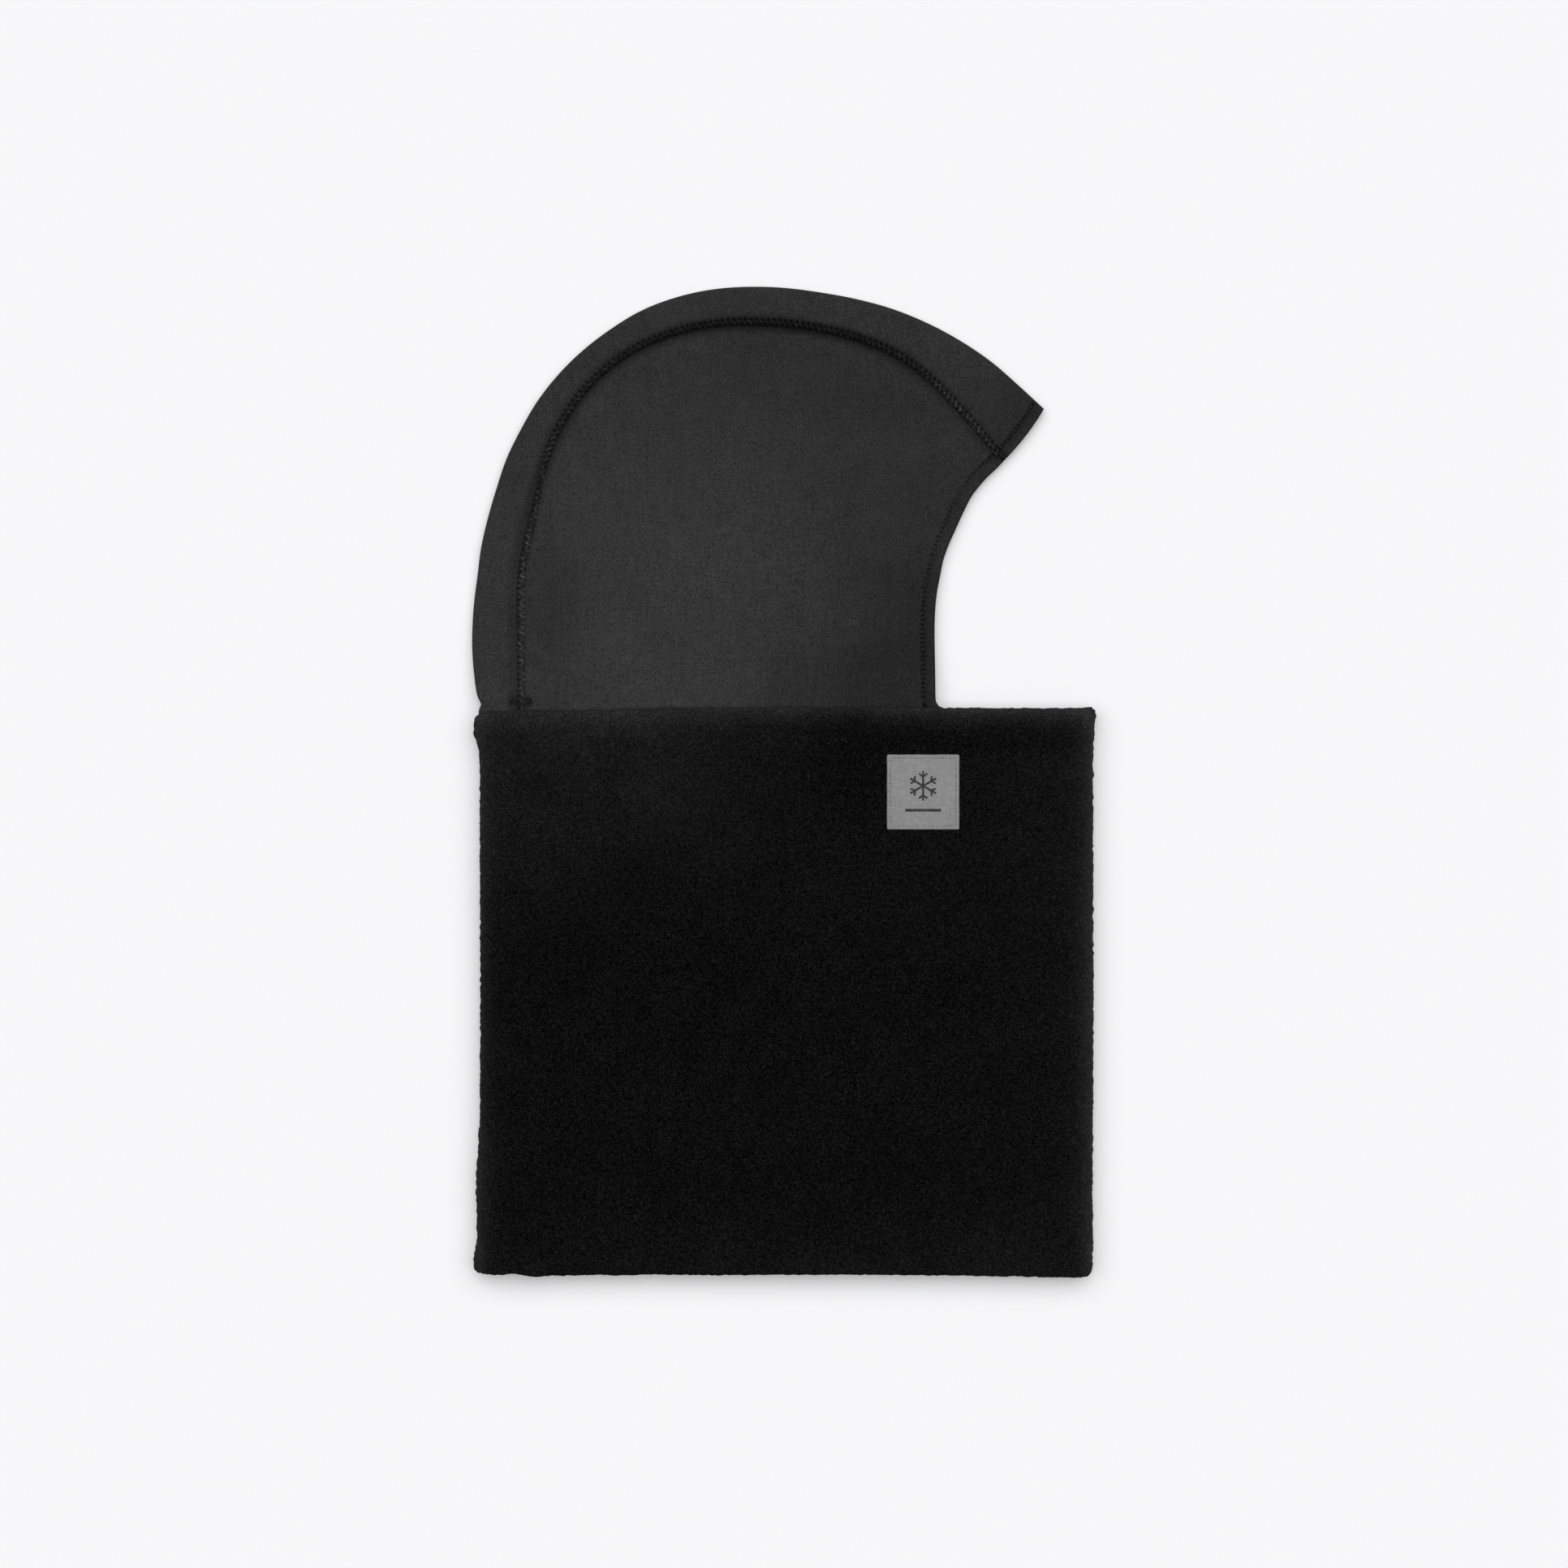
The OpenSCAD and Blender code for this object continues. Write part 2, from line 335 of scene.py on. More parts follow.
def thread(build, path, radius, sides=6, rect=(0, 0, 1, 1), rows=1, closed=False, flat=1.0):
    """A thread along path, radius a number or one per point, with capped ends unless closed."""
    path = np.asarray(path, float)
    n = len(path)
    radius = np.broadcast_to(np.asarray(radius, float), (n,))
    along = path_normal_frame(path, closed)
    side = np.cross(along, [0.0, 0.0, 1.0])
    upright = np.linalg.norm(side, axis=1) < 0.2
    side[upright] = np.cross(along[upright], [1.0, 0.0, 0.0])
    side /= np.linalg.norm(side, axis=1)[:, None]
    top = np.cross(side, along)
    angle = (np.arange(sides) * 2 * np.pi / sides)[None, :, None]
    around = np.cos(angle) * side[:, None] + flat * np.sin(angle) * top[:, None]
    ring = path[:, None] + radius[:, None, None] * around
    first = build.grid(ring, closed_u=closed, closed_v=True, rect=rect, rows=rows)
    if not closed:
        start = first + np.arange(sides)
        end = (start + (n - 1) * sides)[::-1]
        for cap in (start, end):
            for k in range(1, sides - 1):
                build.faces([[cap[0], cap[k], cap[k + 1]]], [[[0, 0], [0.001, 0], [0, 0.001]]])


def skirt(build, first, top, low_z, rect):
    """Walls from the edge of a grid already built at first, down to low_z."""
    nu, nv = top.shape[:2]
    index = np.arange(nu * nv).reshape(nu, nv)
    loop = np.concatenate([index[:, 0], index[-1, 1:], index[-2::-1, -1], index[0, -2:0:-1]])
    low = top.reshape(-1, 3)[loop].copy()
    low[:, 2] = low_z.reshape(-1)[loop]
    below = build.verts(low)
    n = len(loop)
    k = np.arange(n)
    k1 = (k + 1) % n
    quad = np.stack([first + loop[k], below + k, below + k1, first + loop[k1]], 1)
    u0, v0, u1, v1 = rect
    u = u0 + (u1 - u0) * np.stack([k, k, k + 1, k + 1], 1) / n
    v = np.broadcast_to([v0, v1, v1, v0], u.shape)
    build.faces(quad, np.stack([u, v], -1))


# --------------------------------------------------------------------------- node materials


def operator(operation, swapped=False):
    def apply(self, other):
        pair = (other, self) if swapped else (self, other)
        return self.shader.math(operation, *pair)

    return apply


def unary(operation):
    return lambda self: self.shader.math(operation, self)


class Value:
    """A shader output: each piece of arithmetic on it adds one Math node."""

    def __init__(self, shader, socket):
        self.shader, self.socket = shader, socket

    __add__, __radd__ = operator("ADD"), operator("ADD", swapped=True)
    __sub__, __rsub__ = operator("SUBTRACT"), operator("SUBTRACT", swapped=True)
    __mul__, __truediv__, __pow__ = operator("MULTIPLY"), operator("DIVIDE"), operator("POWER")
    below, above = operator("LESS_THAN"), operator("GREATER_THAN")
    at_least, at_most = operator("MAXIMUM"), operator("MINIMUM")
    __abs__, sine, fract, root = (unary(op) for op in ("ABSOLUTE", "SINE", "FRACT", "SQRT"))

    def scaled(self, factor, plus):
        return self.shader.math("MULTIPLY_ADD", self, factor, plus)


class Shader:
    """A Principled material and its nodes."""

    def __init__(self, name):
        self.material = bpy.data.materials.new(name)
        self.material.use_nodes = True
        self.tree = self.material.node_tree
        self.bsdf = next(n for n in self.tree.nodes if n.type == "BSDF_PRINCIPLED")

    def put(self, socket, value):
        if isinstance(value, Value):
            self.tree.links.new(value.socket, socket)
        else:
            socket.default_value = value

    def node(self, kind, inputs, output=0, **props):
        """A new node with its inputs set, by name or place; gives one of its outputs."""
        n = self.tree.nodes.new(kind)
        for key, value in props.items():
            setattr(n, key, value)
        for key, value in inputs.items():
            self.put(n.inputs[key], value)
        return Value(self, n.outputs[output])

    def math(self, operation, a, b=0.0, c=None, clamp=False):
        inputs = {0: a, 1: b} if c is None else {0: a, 1: b, 2: c}
        return self.node("ShaderNodeMath", inputs, operation=operation, use_clamp=clamp)

    def attribute(self, name):
        return self.node("ShaderNodeAttribute", {}, "Vector", attribute_name=name)

    def xyz(self, vector):
        split = self.node("ShaderNodeSeparateXYZ", {0: vector}).socket.node
        return [Value(self, output) for output in split.outputs]

    def mapped(self, vector, scale=(1, 1, 1), shift=(0, 0, 0)):
        inputs = {"Vector": vector, "Scale": scale, "Location": shift}
        return self.node("ShaderNodeMapping", inputs)

    def noise(self, vector, scale, detail=2.0, rough=0.5, distort=0.0, output="Fac"):
        inputs = {
            "Vector": vector, "Scale": scale, "Detail": detail,
            "Roughness": rough, "Distortion": distort,
        }
        return self.node("ShaderNodeTexNoise", inputs, output)

    def ramp(self, value, span, to=(0.0, 1.0), kind="SMOOTHSTEP"):
        inputs = {
            "Value": value, "From Min": span[0], "From Max": span[1],
            "To Min": to[0], "To Max": to[1],
        }
        return self.node("ShaderNodeMapRange", inputs, interpolation_type=kind)

    def spread(self, value, to, span=(0.3, 0.7)):
        """Stretches noise, whose values bunch round 0.5, evenly over a range."""
        return self.ramp(value, span, to, "LINEAR")

    def sway(self, value, by, middle=0.0, span=(0.3, 0.7)):
        return self.spread(value, (middle - by, middle + by), span)

    def grey(self, tone):
        """tone as a neutral colour, very slightly blue."""
        return self.node("ShaderNodeCombineColor", {0: tone, 1: tone, 2: tone * 1.015})

    def bump(self, height, depth_mm, strength, base=None):
        inputs = {"Strength": strength, "Distance": depth_mm * MM, "Height": height}
        if base is not None:
            inputs["Normal"] = base
        return self.node("ShaderNodeBump", inputs)

    def finish(self, color, rough, **others):
        self.put(self.bsdf.inputs["Base Color"], color)
        self.put(self.bsdf.inputs["Roughness"], rough)
        for key, value in others.items():
            self.put(self.bsdf.inputs[key.replace("_", " ")], value)
        return self.material


def fleece_material(name, low, high, sheen, scale=1.0, with_painted_light=False):
    """Brushed pile: curled tufts with dark gaps, matt with bright grazing edges."""
    m = Shader(name)
    p = m.attribute("rest")
    warp = m.noise(p, scale=0.35 * scale, detail=1.0, output="Color")
    warp_reach = (2.2, 2.2, 2.2)
    inputs = {0: warp, 1: warp_reach, 2: p}
    q = m.node("ShaderNodeVectorMath", inputs, operation="MULTIPLY_ADD")
    tuft = m.noise(q, scale=1.25 * scale, detail=3.0, rough=0.66, distort=0.8)
    stretched = m.mapped(q, scale=(1.0, 0.55, 1.0))
    fibre = m.noise(stretched, scale=2.7 * scale, detail=2.0, rough=0.6, distort=1.4)
    curl = m.node("ShaderNodeTexVoronoi", {"Vector": q, "Scale": 1.1 * scale}, "Distance")
    cloud = m.noise(p, scale=0.045, detail=3.0, rough=0.55)
    patch = m.noise(p, scale=0.16, detail=2.0)
    tuft_share, fibre_share, curl_share = 0.62, 0.38, 0.16
    height = tuft * tuft_share + fibre * fibre_share - curl * curl_share
    tip_contrast = 1.35
    tips = m.ramp(height, span=(0.30, 0.57)) ** tip_contrast
    tone = tips.scaled(high - low, plus=low)
    if with_painted_light:
        # painted light and shade from a vertex attribute lifts the whole pile, not only the tufts'
        # tips
        nap = m.xyz(m.attribute("nap"))[0]
        mean = low + 0.4 * (high - low)
        tone = tone + (nap - 1.0) * tips.scaled(0.75 * mean, plus=0.65 * mean)
    tone = tone * m.sway(cloud, by=0.14, middle=1.0)
    tone = tone * m.sway(patch, by=0.09, middle=1.0)
    return m.finish(
        m.grey(tone), rough=0.95, Normal=m.bump(height, depth_mm=0.6, strength=0.8),
        Specular_IOR_Level=0.02, Sheen_Roughness=0.45,
        Sheen_Weight=m.spread(tips, to=(0.4, 1.6), span=(0.0, 1.0)) * sheen,
    )


def centred(turns, pitch):
    """Distance along from the middle of each stitch, for a length counted in stitches."""
    return (turns.fract() - 0.5) * pitch


def distance(a, b):
    return (a**2.0 + b**2.0).root()


def seam_shading(m, p, s, d, depth):
    """Light kept under painted shade along the panel seam's valley, and in its two rows of needle
    holes.

    s runs along the seam, d across it towards the gusset; depth weights the painted shade."""
    on_pitch = centred(s / SEAM_PITCH, SEAM_PITCH)
    between = centred(s / SEAM_PITCH + 0.5, SEAM_PITCH)

    def holes(offset, radii, along):
        return m.ramp(distance(along * 0.95, abs(d - offset) * 1.0 if False else abs(d - offset)),
                      span=radii, to=(1.0, 0.0))

    # one row on the seam line, one beside it, which changes sides above the nape
    beside = m.ramp(s, span=BESIDE_SWAP, to=(BESIDE_LOW, BESIDE_HIGH))
    middle_holes = holes(0.0, radii=(0.35, 1.0), along=between)
    beside_holes = holes(beside, radii=(0.3, 0.95), along=on_pitch)
    line = m.ramp(abs(d), span=(0.1, 1.05), to=(1.0, 0.0))
    beside_line = m.ramp(abs(d - beside), span=(0.1, 0.85), to=(1.0, 0.0))
    patches = m.noise(m.mapped(p, shift=(3, 5, 0)), scale=0.55)
    patchy = m.spread(patches, to=(0.6, 1.35))
    # painted shade in short pulls in the gusset's cloth, one at each stitch, above the nape
    pull_row, pull_along, pull_across = 2.7, 1.35, 1.05
    pull = distance(on_pitch * pull_along, abs(d - pull_row) * pull_across)
    pull = m.ramp(pull, span=(0.3, 1.05), to=(1.0, 0.0)) * m.ramp(s, span=(95.0, 130.0))
    # painted shade on the valley's two slopes
    least_gusset_shade = 0.3
    panel_side = m.ramp(d, span=(-4.2, -0.3), to=(0.0, 0.78)) * d.below(0.0) * depth
    gusset_side = m.ramp(d, span=(6.0, 1.4), to=(0.0, 0.84)) * d.above(0.0)
    gusset_side = gusset_side * depth.at_least(least_gusset_shade)
    keep = 1.0 - (panel_side + gusset_side)
    # mask, painted shade where the seam lies flat, extra painted shade by the seam's shade weight
    for mask, flat_dark, weighted_dark in (
        (middle_holes, 0.48, 0.22), (beside_holes, 0.34, 0.28), (line, 0.20, 0.38),
        (beside_line, 0.04, 0.26), (pull, 0.26, 0.34),
    ):
        amount = depth.scaled(weighted_dark, plus=flat_dark) * patchy
        keep *= 1.0 - m.math("MULTIPLY", mask, amount, clamp=True)
    # patchy painted shade round the bar tack
    tack_s, tack_d = 9.9, -0.4
    by_tack = m.ramp(abs(s - tack_s), span=(1.2, 4.6), to=(1.0, 0.0))
    by_tack = by_tack * m.ramp(abs(d - tack_d), span=(3.4, 6.6), to=(1.0, 0.0))
    blots = m.noise(m.mapped(p, shift=(9, 2, 0)), scale=0.95, rough=0.6)
    keep *= 1.0 - by_tack * m.ramp(blots, span=(0.38, 0.62), to=(0.05, 0.62))
    return keep, middle_holes, beside_holes


def hem_shading(m, y, s, d, keep):
    """keep darkened by painted shade at the opening's hem: on the slope to the stitch row, in its
    groove and in its needle holes; d runs in from the edge.
    """
    along = centred(s / HEM_PITCH, HEM_PITCH)
    across = d - HEM_ROW
    hole_along, hole_across = 1.45, 0.85
    hole = distance(abs(along) * hole_along, abs(across) * hole_across)
    hole = m.ramp(hole, span=(0.35, 1.0), to=(1.0, 0.0))
    groove = m.ramp(abs(across), span=(0.1, 1.3), to=(1.0, 0.0))
    by_brow = m.ramp(y, span=(128.0, 140.0))
    by_jaw = m.ramp(y, span=(95.0, 55.0))
    # how strong the painted shade is in the needle holes and groove, and on the slope outside
    # them, with extra at brow and jaw
    hem_shade = m.ramp(y, span=(118.0, 95.0), to=(0.22, 0.40))
    hem_shade = by_jaw.scaled(0.17, plus=by_brow.scaled(0.30, plus=hem_shade))
    slope = by_jaw.scaled(0.18, plus=by_brow.scaled(0.16, plus=0.16))
    slope = slope * (m.ramp(d, span=(1.2, 5.0)) * m.ramp(d, span=(6.4, 5.3)))
    hole_gain, hole_darkest, groove_gain = 1.45, 0.84, 0.16
    keep *= 1.0 - slope
    keep *= 1.0 - hole * (hem_shade * hole_gain).at_most(hole_darkest)
    keep *= 1.0 - groove * (hem_shade * groove_gain)
    return keep, hole


def knit_material(name, tone):
    """Fine heathered jersey: flecked yarn, faint loops, needle holes and shaded seams."""
    m = Shader(name)
    p = m.attribute("rest")
    x, y, _ = m.xyz(p)
    wobble = m.noise(p, scale=0.22, detail=3.0, rough=0.6)
    wobble_x, wobble_y, wale_pitch, course_pitch = 2.4, -1.9, 0.66, 0.52
    wobbly_y = wobble.scaled(wobble_y, plus=y)
    wale = (wobble.scaled(wobble_x, plus=x) * (TURN / wale_pitch)).sine()
    course_bend = 0.55
    course = wale.scaled(course_bend, plus=wobbly_y * (TURN / course_pitch)).sine()
    fleck = m.noise(m.mapped(p, scale=(1.0, 0.75, 1.0)), scale=1.55, rough=0.7, distort=0.5)
    finer = m.mapped(p, scale=(1.0, 0.7, 1.0), shift=(31, 7, 0))
    grain = m.noise(finer, scale=3.2, detail=1.0)
    streak = m.noise(m.mapped(p, scale=(1.0, 0.12, 1.0)), scale=0.9)
    cross = m.noise(m.mapped(p, scale=(0.12, 1.0, 1.0)), scale=0.8)
    mottle = m.noise(p, scale=0.14, detail=3.0, rough=0.55)
    cloud = m.noise(p, scale=0.03, detail=3.0)
    loop_tone, darkest = 0.03, 0.15
    vary = m.sway(fleck, by=0.60, span=(0.25, 0.75)) + m.sway(grain, by=0.22, span=(0.25, 0.75))
    vary = vary + m.sway(streak, by=0.08) + m.sway(cross, by=0.06)
    vary = vary + wale * loop_tone + course * loop_tone
    vary = vary + m.sway(mottle, by=0.06) + m.sway(cloud, by=0.05)
    shade = (1.0 + vary).at_least(darkest)
    loop_height, fleck_height = 0.35, 1.6
    height = wale * loop_height + course * loop_height + fleck * fleck_height
    cloth_normal = m.bump(height, depth_mm=0.10, strength=0.7)

    # the seam attribute's third value weights the seam's painted shade
    seam_s, seam_d, seam_shade_weight = m.xyz(m.attribute("seam"))
    hem_s, hem_d, broad = m.xyz(m.attribute("hem"))
    # painted broad light and shade, carried in the hem attribute's third value
    shade = shade * broad
    keep, middle_holes, beside_holes = seam_shading(m, p, seam_s, seam_d, seam_shade_weight)
    keep, hem_holes = hem_shading(m, y, hem_s, hem_d, keep)
    shade = shade * keep
    holes = middle_holes.at_least(beside_holes.at_least(hem_holes)) * -1.0
    return m.finish(
        m.grey(shade * tone), rough=0.85,
        Normal=m.bump(holes, depth_mm=0.25, strength=0.7, base=cloth_normal),
        Specular_IOR_Level=0.07, Sheen_Weight=0.035, Sheen_Roughness=0.4,
    )


def thread_material(name, tone, neck_paleness=0.0, crown_shade=False):
    """Sewing thread with a fine twist, optionally paler near the neck than high up, by the given
    factor.
    """
    m = Shader(name)
    p = m.attribute("rest")
    twist = m.noise(p, scale=4.5, rough=0.6, distort=1.0)
    patches = m.noise(p, scale=0.8)
    shade = m.spread(twist, to=(0.65, 1.4)) * m.spread(patches, to=(0.55, 1.5))
    if neck_paleness:
        x, y, _ = m.xyz(p)
        shade = shade * m.ramp(y, span=(60.0, 172.0), to=(neck_paleness, 1.0))
        shine = m.noise(p, scale=0.42, distort=0.6)
        shade = shade * m.ramp(shine, span=(0.36, 0.66), to=(0.45, 2.1))
        if crown_shade:  # darker over the crown, paler towards the brow
            over_crown = m.ramp(y, span=(158.0, 188.0), to=(1.0, 0.5))
            shade = shade * (over_crown * m.ramp(x, span=(20.0, 66.0), to=(1.0, 1.7)))
    normal = m.bump(twist, depth_mm=0.08, strength=0.8)
    return m.finish(m.grey(shade * tone), rough=0.65, Normal=normal, Specular_IOR_Level=0.12)


def label_material(name, tone):
    """Dense damask weave: a fine steep twill with single yarns standing out."""
    m = Shader(name)
    p = m.attribute("rest")
    x, y, _ = m.xyz(p)
    wobble = m.noise(p, scale=0.5)
    twill_x, twill_y, weft_pitch, wobble_turn = 0.5, 1.1, 0.36, 1.6
    diagonal = x * (TURN / twill_x) + y * (TURN / twill_y)
    twill = wobble.scaled(wobble_turn, plus=diagonal).sine()
    weft = (y * (TURN / weft_pitch)).sine()
    yarn = m.noise(m.mapped(p, scale=(0.35, 2.6, 1.0)), scale=1.0, rough=0.6)
    warp = m.noise(m.mapped(p, scale=(2.6, 0.35, 1.0)), scale=1.0, rough=0.6)
    soil = m.noise(p, scale=0.12, detail=3.0)
    twill_tone, weft_tone, twill_height, weft_height = 0.035, 0.02, 0.5, 0.4
    vary = twill * twill_tone + weft * weft_tone
    vary = vary + m.sway(yarn, by=0.15) + m.sway(warp, by=0.11) + m.sway(soil, by=0.04)
    height = twill * twill_height + (weft * weft_height + yarn)
    normal = m.bump(height, depth_mm=0.07, strength=0.8)
    color = m.grey((1.0 + vary) * tone)
    return m.finish(color, rough=0.62, Normal=normal, Specular_IOR_Level=0.4)


def floor_material():
    """White paper on a dim light table, so shadows stay soft."""
    m = Shader("floor_paper")
    place = m.node("ShaderNodeNewGeometry", {}, "Position")
    grain = m.noise(place, scale=900.0)
    return m.finish(
        m.grey(m.sway(grain, by=0.005, middle=0.9)), rough=1.0, Specular_IOR_Level=0.0,
        Emission_Color=(1, 1, 1, 1), Emission_Strength=0.08,
    )


# the outer fleece gets painted light and shade in its pile from a vertex attribute
FLEECE = fleece_material("fleece_black", low=0.0005, high=0.0119, sheen=0.012, with_painted_light=True)
LINING = fleece_material("fleece_lining_black", low=0.0010, high=0.0150, sheen=0.02, scale=1.15)
KNIT = knit_material("jersey_charcoal", tone=0.0322)
# painted shade on the flatlock thread: darker up over the crown than near the neck
THREAD = thread_material("thread_black", tone=0.0115, neck_paleness=2.7, crown_shade=True)
HEM_THREAD = thread_material("hem_thread_black", tone=0.0145, neck_paleness=2.1)
TACK = thread_material("tack_thread", tone=0.0118)
THREAD_FLEECE = thread_material("overlock_thread", tone=0.014)
LABEL = label_material("label_woven_grey", tone=0.264)
LABEL_THREAD = thread_material("label_thread_grey", tone=0.24)
MARK = thread_material("label_mark_dark", tone=0.04)
TAPE = label_material("care_tape_white", tone=0.6)

# --------------------------------------------------------------------------- cloth


def height_lookup(xy, z, step):
    """Smooth height over x and y from scattered points, through a grid of the given step."""
    low = xy.min(0) - 2 * step
    nx, ny = (np.ceil((xy.max(0) + 2 * step - low) / step)).astype(int) + 1
    grid = np.zeros((nx, ny))
    grid_y = low[1] + np.arange(ny) * step
    for i in range(nx):
        from_column = xy[:, 0] - (low[0] + i * step)
        near = np.abs(from_column) < 2.2 * step
        if not near.any():
            continue
        away2 = from_column[near][None, :] ** 2 + (xy[near][None, :, 1] - grid_y[:, None]) ** 2
        weight = np.exp(-0.5 * away2 / (0.7 * step) ** 2)
        total = weight.sum(1)
        mean = (weight * z[near]).sum(1) / np.maximum(total, 0.3)
        grid[i] = np.where(total > 0.3, mean, 0.0)

    def weights(t):
        return 0.5 * (0.5 - t) ** 2, 0.75 - t * t, 0.5 * (0.5 + t) ** 2

    def look(x, y):
        fx = np.clip((np.asarray(x, float) - low[0]) / step, 1, nx - 2.001)
        fy = np.clip((np.asarray(y, float) - low[1]) / step, 1, ny - 2.001)
        i, j = np.rint(fx).astype(int), np.rint(fy).astype(int)
        wx, wy = weights(fx - i), weights(fy - j)
        return sum(
            wx[m] * wy[n] * grid[i + m - 1, j + n - 1] for m in range(3) for n in range(3)
        )

    return look


def cloth_crown(xy, faces, pinned, tallest, step, seed, frames=20):
    """Lifts a slack sheet with cloth, under a little pressure and no gravity, pinned where it is
    folded or sewn. Gives its settled height (mm) over x and y, scaled to tallest at its top."""
    me = bpy.data.meshes.new("cloth_proxy")
    rng = np.random.RandomState(seed)
    z0 = np.where(pinned, 0.0, rng.uniform(0, 0.05, len(xy)))
    points = [(x * MM, y * MM, z * MM) for (x, y), z in zip(xy, z0)]
    me.from_pydata(points, [], [tuple(int(i) for i in f) for f in faces])
    me.update()
    ob = bpy.data.objects.new("cloth_proxy", me)
    bpy.context.scene.collection.objects.link(ob)
    group = ob.vertex_groups.new(name="pin")
    group.add([int(i) for i in np.nonzero(pinned)[0]], 1.0, "REPLACE")
    mod = ob.modifiers.new("cloth", "CLOTH")
    cloth = mod.settings
    cloth.quality = 6
    cloth.mass = 0.002
    cloth.tension_stiffness = cloth.compression_stiffness = 12
    cloth.shear_stiffness = 6
    cloth.bending_stiffness = 0.08
    cloth.air_damping = 1.0
    cloth.shrink_min = -0.012
    cloth.vertex_group_mass = "pin"
    cloth.use_pressure = True
    cloth.uniform_pressure_force = 4.0
    cloth.effector_weights.gravity = 0.0
    mod.collision_settings.use_collision = False
    mod.collision_settings.use_self_collision = False
    mod.point_cache.frame_start, mod.point_cache.frame_end = 1, frames
    for frame in range(1, frames + 1):
        bpy.context.scene.frame_set(frame)
    settled = ob.evaluated_get(bpy.context.evaluated_depsgraph_get())
    settled_mesh = settled.to_mesh()
    co = np.zeros(len(settled_mesh.vertices) * 3)
    settled_mesh.vertices.foreach_get("co", co)
    settled.to_mesh_clear()
    bpy.data.objects.remove(ob)
    bpy.data.meshes.remove(me)
    bpy.context.scene.frame_set(1)
    z = np.clip(co.reshape(-1, 3)[:, 2] / MM, 0, None)
    z = z * tallest / max(float(z.max()), 1e-6)
    return height_lookup(xy, z, step)


# --------------------------------------------------------------------------- neck tube

fleece_low, fleece_high = box_mm("outer_fleece")
TUBE_BACK, TUBE_FRONT = fleece_low[0], fleece_high[0] - 0.7
TUBE_BOTTOM, TUBE_TOP = fleece_low[1] + 0.4, fleece_high[1]
TUBE_MID_Z = 7.5
FOLD_R = 7.2  # radius of the flattened tube's folds, and half its height there
FOLD_BACK_X, FOLD_FRONT_X = TUBE_BACK + FOLD_R, TUBE_FRONT - FOLD_R  # the folds' centres
WALL = 5.3  # one wall, outer and lining together
OUTER_WALL = 2.9  # the outer fleece's share of it
LIP_R = 2.3  # how round the mouths' rolled edges are in plan

label_low, label_high = box_mm("label_patch")
LABEL_MID = (label_low + label_high) / 2
LABEL_W, LABEL_H = (label_high - label_low)[:2]

# How far the tube's outline strays: (y, shift along x) down its back and front folds
BACK_STRAY = np.array([
    (36, 0.4), (31, 0.3), (29.5, -1.6), (26, -2.6), (21, -2.7), (17.5, -1.6), (14, -0.4),
    (5, 0.1), (-20, 0.0), (-60, 0.1), (-100, 0.2), (-140, 0.0), (-156, -0.9), (-170, -1.7),
    (-183, -1.2), (-192, -1.2), (-199, -2.2), (-204.5, -3.2), (-207, -2.0), (-212, -0.5),
])[::-1]
FRONT_STRAY = np.array([
    (36, 0.2), (31, 0.4), (28.5, 0.9), (23, 0.5), (15, -0.1), (0, -0.3), (-60, -0.1),
    (-120, -0.1), (-172, -0.5), (-195, -0.2), (-204, -0.4), (-208, -1.0), (-212, -1.2),
])[::-1]
# and (x, shift along y) along its bottom and top mouths
BOTTOM_STRAY = np.array([
    (-132, 2.0), (-124, 1.9), (-118, 1.7), (-114, 2.5), (-110, 1.8), (-105, 0.9), (-98, 1.2),
    (-90, 1.5), (-80, 1.8), (-66, 1.5), (-58, 1.9), (-30, 1.6), (0, 1.9), (40, 1.7), (70, 1.5),
    (105, 0.9), (124, 0.6), (132, 1.2),
])
TOP_STRAY = np.array([
    (-133, -1.6), (-129, -1.3), (-124, -1.2), (-116, -0.9), (-102, -0.7), (-85, -0.6),
    (-62, -0.2), (-46, 0.4), (-10, 0.6), (60, 0.3), (100, 0.2), (124, 0.1), (128, 0.3),
    (131, 1.0), (133, 1.3),
])


def smoothed(table, q):
    """A smooth curve through a table's points."""
    q = np.asarray(q, float)
    total, weight = np.zeros_like(q), 0.0
    for k in np.linspace(-2.2, 2.2, 9):
        g = math.exp(-0.5 * k * k)
        total += g * np.interp(q + k * 1.4, table[:, 0], table[:, 1])
        weight += g
    return total / weight


def tube_sheet(step=5.0):
    """The tube's near wall as a coarse sheet, held at its folds, its mouths and the label."""
    nx = int((TUBE_FRONT - TUBE_BACK) / step) + 1
    ny = int((TUBE_TOP - TUBE_BOTTOM) / step) + 1
    x = np.linspace(TUBE_BACK + 3, TUBE_FRONT - 3, nx)
    y = np.linspace(TUBE_BOTTOM + 2, TUBE_TOP - 2, ny)
    x, y = np.meshgrid(x, y, indexing="ij")
    xy = np.column_stack([x.ravel(), y.ravel()])
    k = np.arange(nx * ny).reshape(nx, ny)
    faces = np.stack([k[:-1, :-1], k[1:, :-1], k[1:, 1:], k[:-1, 1:]], -1).reshape(-1, 4)
    held = np.ones((nx, ny), bool)
    held[1:-1, 1:-1] = False
    from_label = np.abs(xy - LABEL_MID[:2]) - (label_high[:2] - label_low[:2]) / 2
    sewn = (from_label.max(1) < 2.6) & (from_label.max(1) > -2.6)
    return xy, faces, held.ravel() | sewn


TUBE_CROWN = cloth_crown(*tube_sheet(), tallest=0.65, step=5.0, seed=3)


